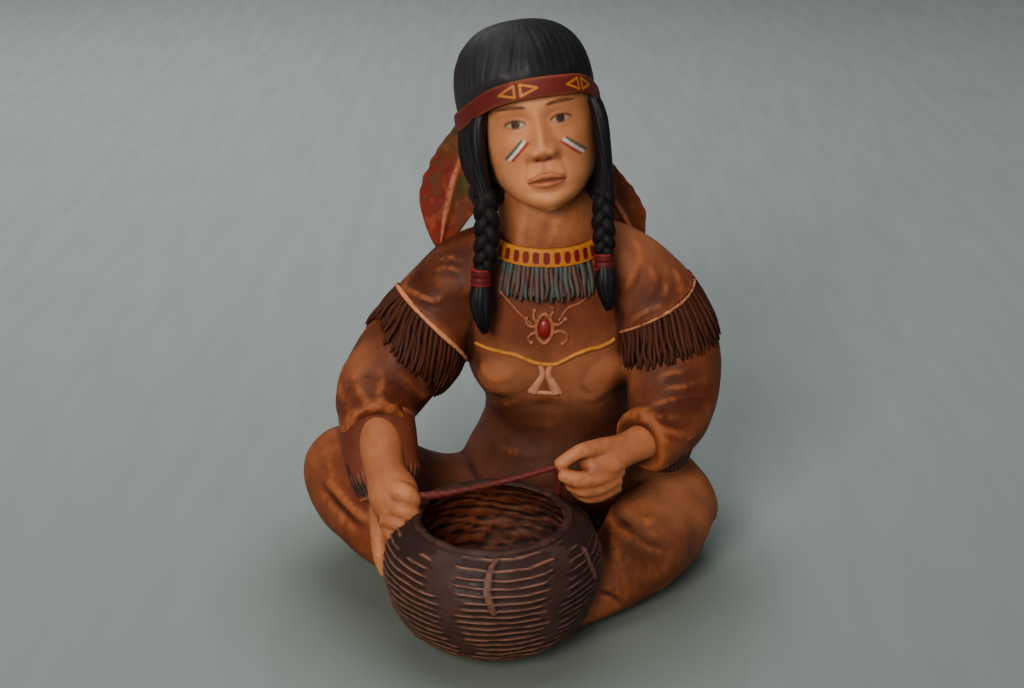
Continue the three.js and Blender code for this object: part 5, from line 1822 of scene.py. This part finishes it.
class FIGURINE_OT_headband(Operator):
    """Adds the headband and its figures"""
    bl_idname = "figurine.headband"
    bl_label = "Headband"

    def execute(self, context):
        build_headband(context.scene.figurine_colours)
        return {"FINISHED"}


class FIGURINE_OT_feathers(Operator):
    """Adds the two feathers"""
    bl_idname = "figurine.feathers"
    bl_label = "Feathers"

    def execute(self, context):
        build_feathers(context.scene.figurine_colours)
        return {"FINISHED"}


class FIGURINE_OT_collar(Operator):
    """Adds the collar and its fringe"""
    bl_idname = "figurine.collar"
    bl_label = "Collar"

    def execute(self, context):
        build_collar(context.scene.figurine_colours)
        return {"FINISHED"}


class FIGURINE_OT_chest(Operator):
    """Adds the medallion, the line and the tepee"""
    bl_idname = "figurine.chest"
    bl_label = "Chest ornaments"

    def execute(self, context):
        build_chest(context.scene.figurine_colours)
        return {"FINISHED"}


class FIGURINE_OT_hands(Operator):
    """Casts the hands and the cuffs"""
    bl_idname = "figurine.hands"
    bl_label = "Hands"

    def execute(self, context):
        build_hands(context.scene.figurine_sizes, context.scene.figurine_colours)
        return {"FINISHED"}


class FIGURINE_OT_basket(Operator):
    """Turns and paints the basket"""
    bl_idname = "figurine.basket"
    bl_label = "Basket"

    def execute(self, context):
        build_basket(context.scene.figurine_colours)
        return {"FINISHED"}


class FIGURINE_OT_strand(Operator):
    """Twists the strand between the hands"""
    bl_idname = "figurine.strand"
    bl_label = "Strand"

    def execute(self, context):
        build_strand(context.scene.figurine_colours)
        return {"FINISHED"}


class FIGURINE_OT_stage(Operator):
    """Sets the floor, the lights and the camera"""
    bl_idname = "figurine.stage"
    bl_label = "Stage"

    def execute(self, context):
        build_stage(context.scene.figurine_colours)
        return {"FINISHED"}


OPERATORS = [
    FIGURINE_OT_dress, FIGURINE_OT_fringes, FIGURINE_OT_head, FIGURINE_OT_hair,
    FIGURINE_OT_headband, FIGURINE_OT_feathers, FIGURINE_OT_collar, FIGURINE_OT_chest,
    FIGURINE_OT_hands, FIGURINE_OT_basket, FIGURINE_OT_strand, FIGURINE_OT_stage,
]


class FIGURINE_PT_pieces(Panel):
    """Lists the figurine's pieces, sizes and paints"""
    bl_idname = "FIGURINE_PT_pieces"
    bl_label = "Figurine"
    bl_space_type = "VIEW_3D"
    bl_region_type = "UI"
    bl_category = "Figurine"

    def draw(self, context):
        for operator in OPERATORS:
            self.layout.operator(operator.bl_idname)
        for group in (context.scene.figurine_sizes, context.scene.figurine_colours):
            for key in group.__annotations__:
                self.layout.prop(group, key)


CLASSES = [FigurineSizes, FigurineColours, *OPERATORS, FIGURINE_PT_pieces]


def register():
    """Adds the classes and the scene's settings"""
    for cls in CLASSES:
        bpy.utils.register_class(cls)
    bpy.types.Scene.figurine_sizes = bpy.props.PointerProperty(type=FigurineSizes)
    bpy.types.Scene.figurine_colours = bpy.props.PointerProperty(type=FigurineColours)


def unregister():
    """Removes what register adds"""
    del bpy.types.Scene.figurine_sizes
    del bpy.types.Scene.figurine_colours
    for cls in reversed(CLASSES):
        bpy.utils.unregister_class(cls)


def main():
    """Calls the operators in order"""
    register()
    for operator in OPERATORS:
        getattr(bpy.ops.figurine, operator.bl_idname.split(".")[1])()
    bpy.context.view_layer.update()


if __name__ == "__main__":
    main()
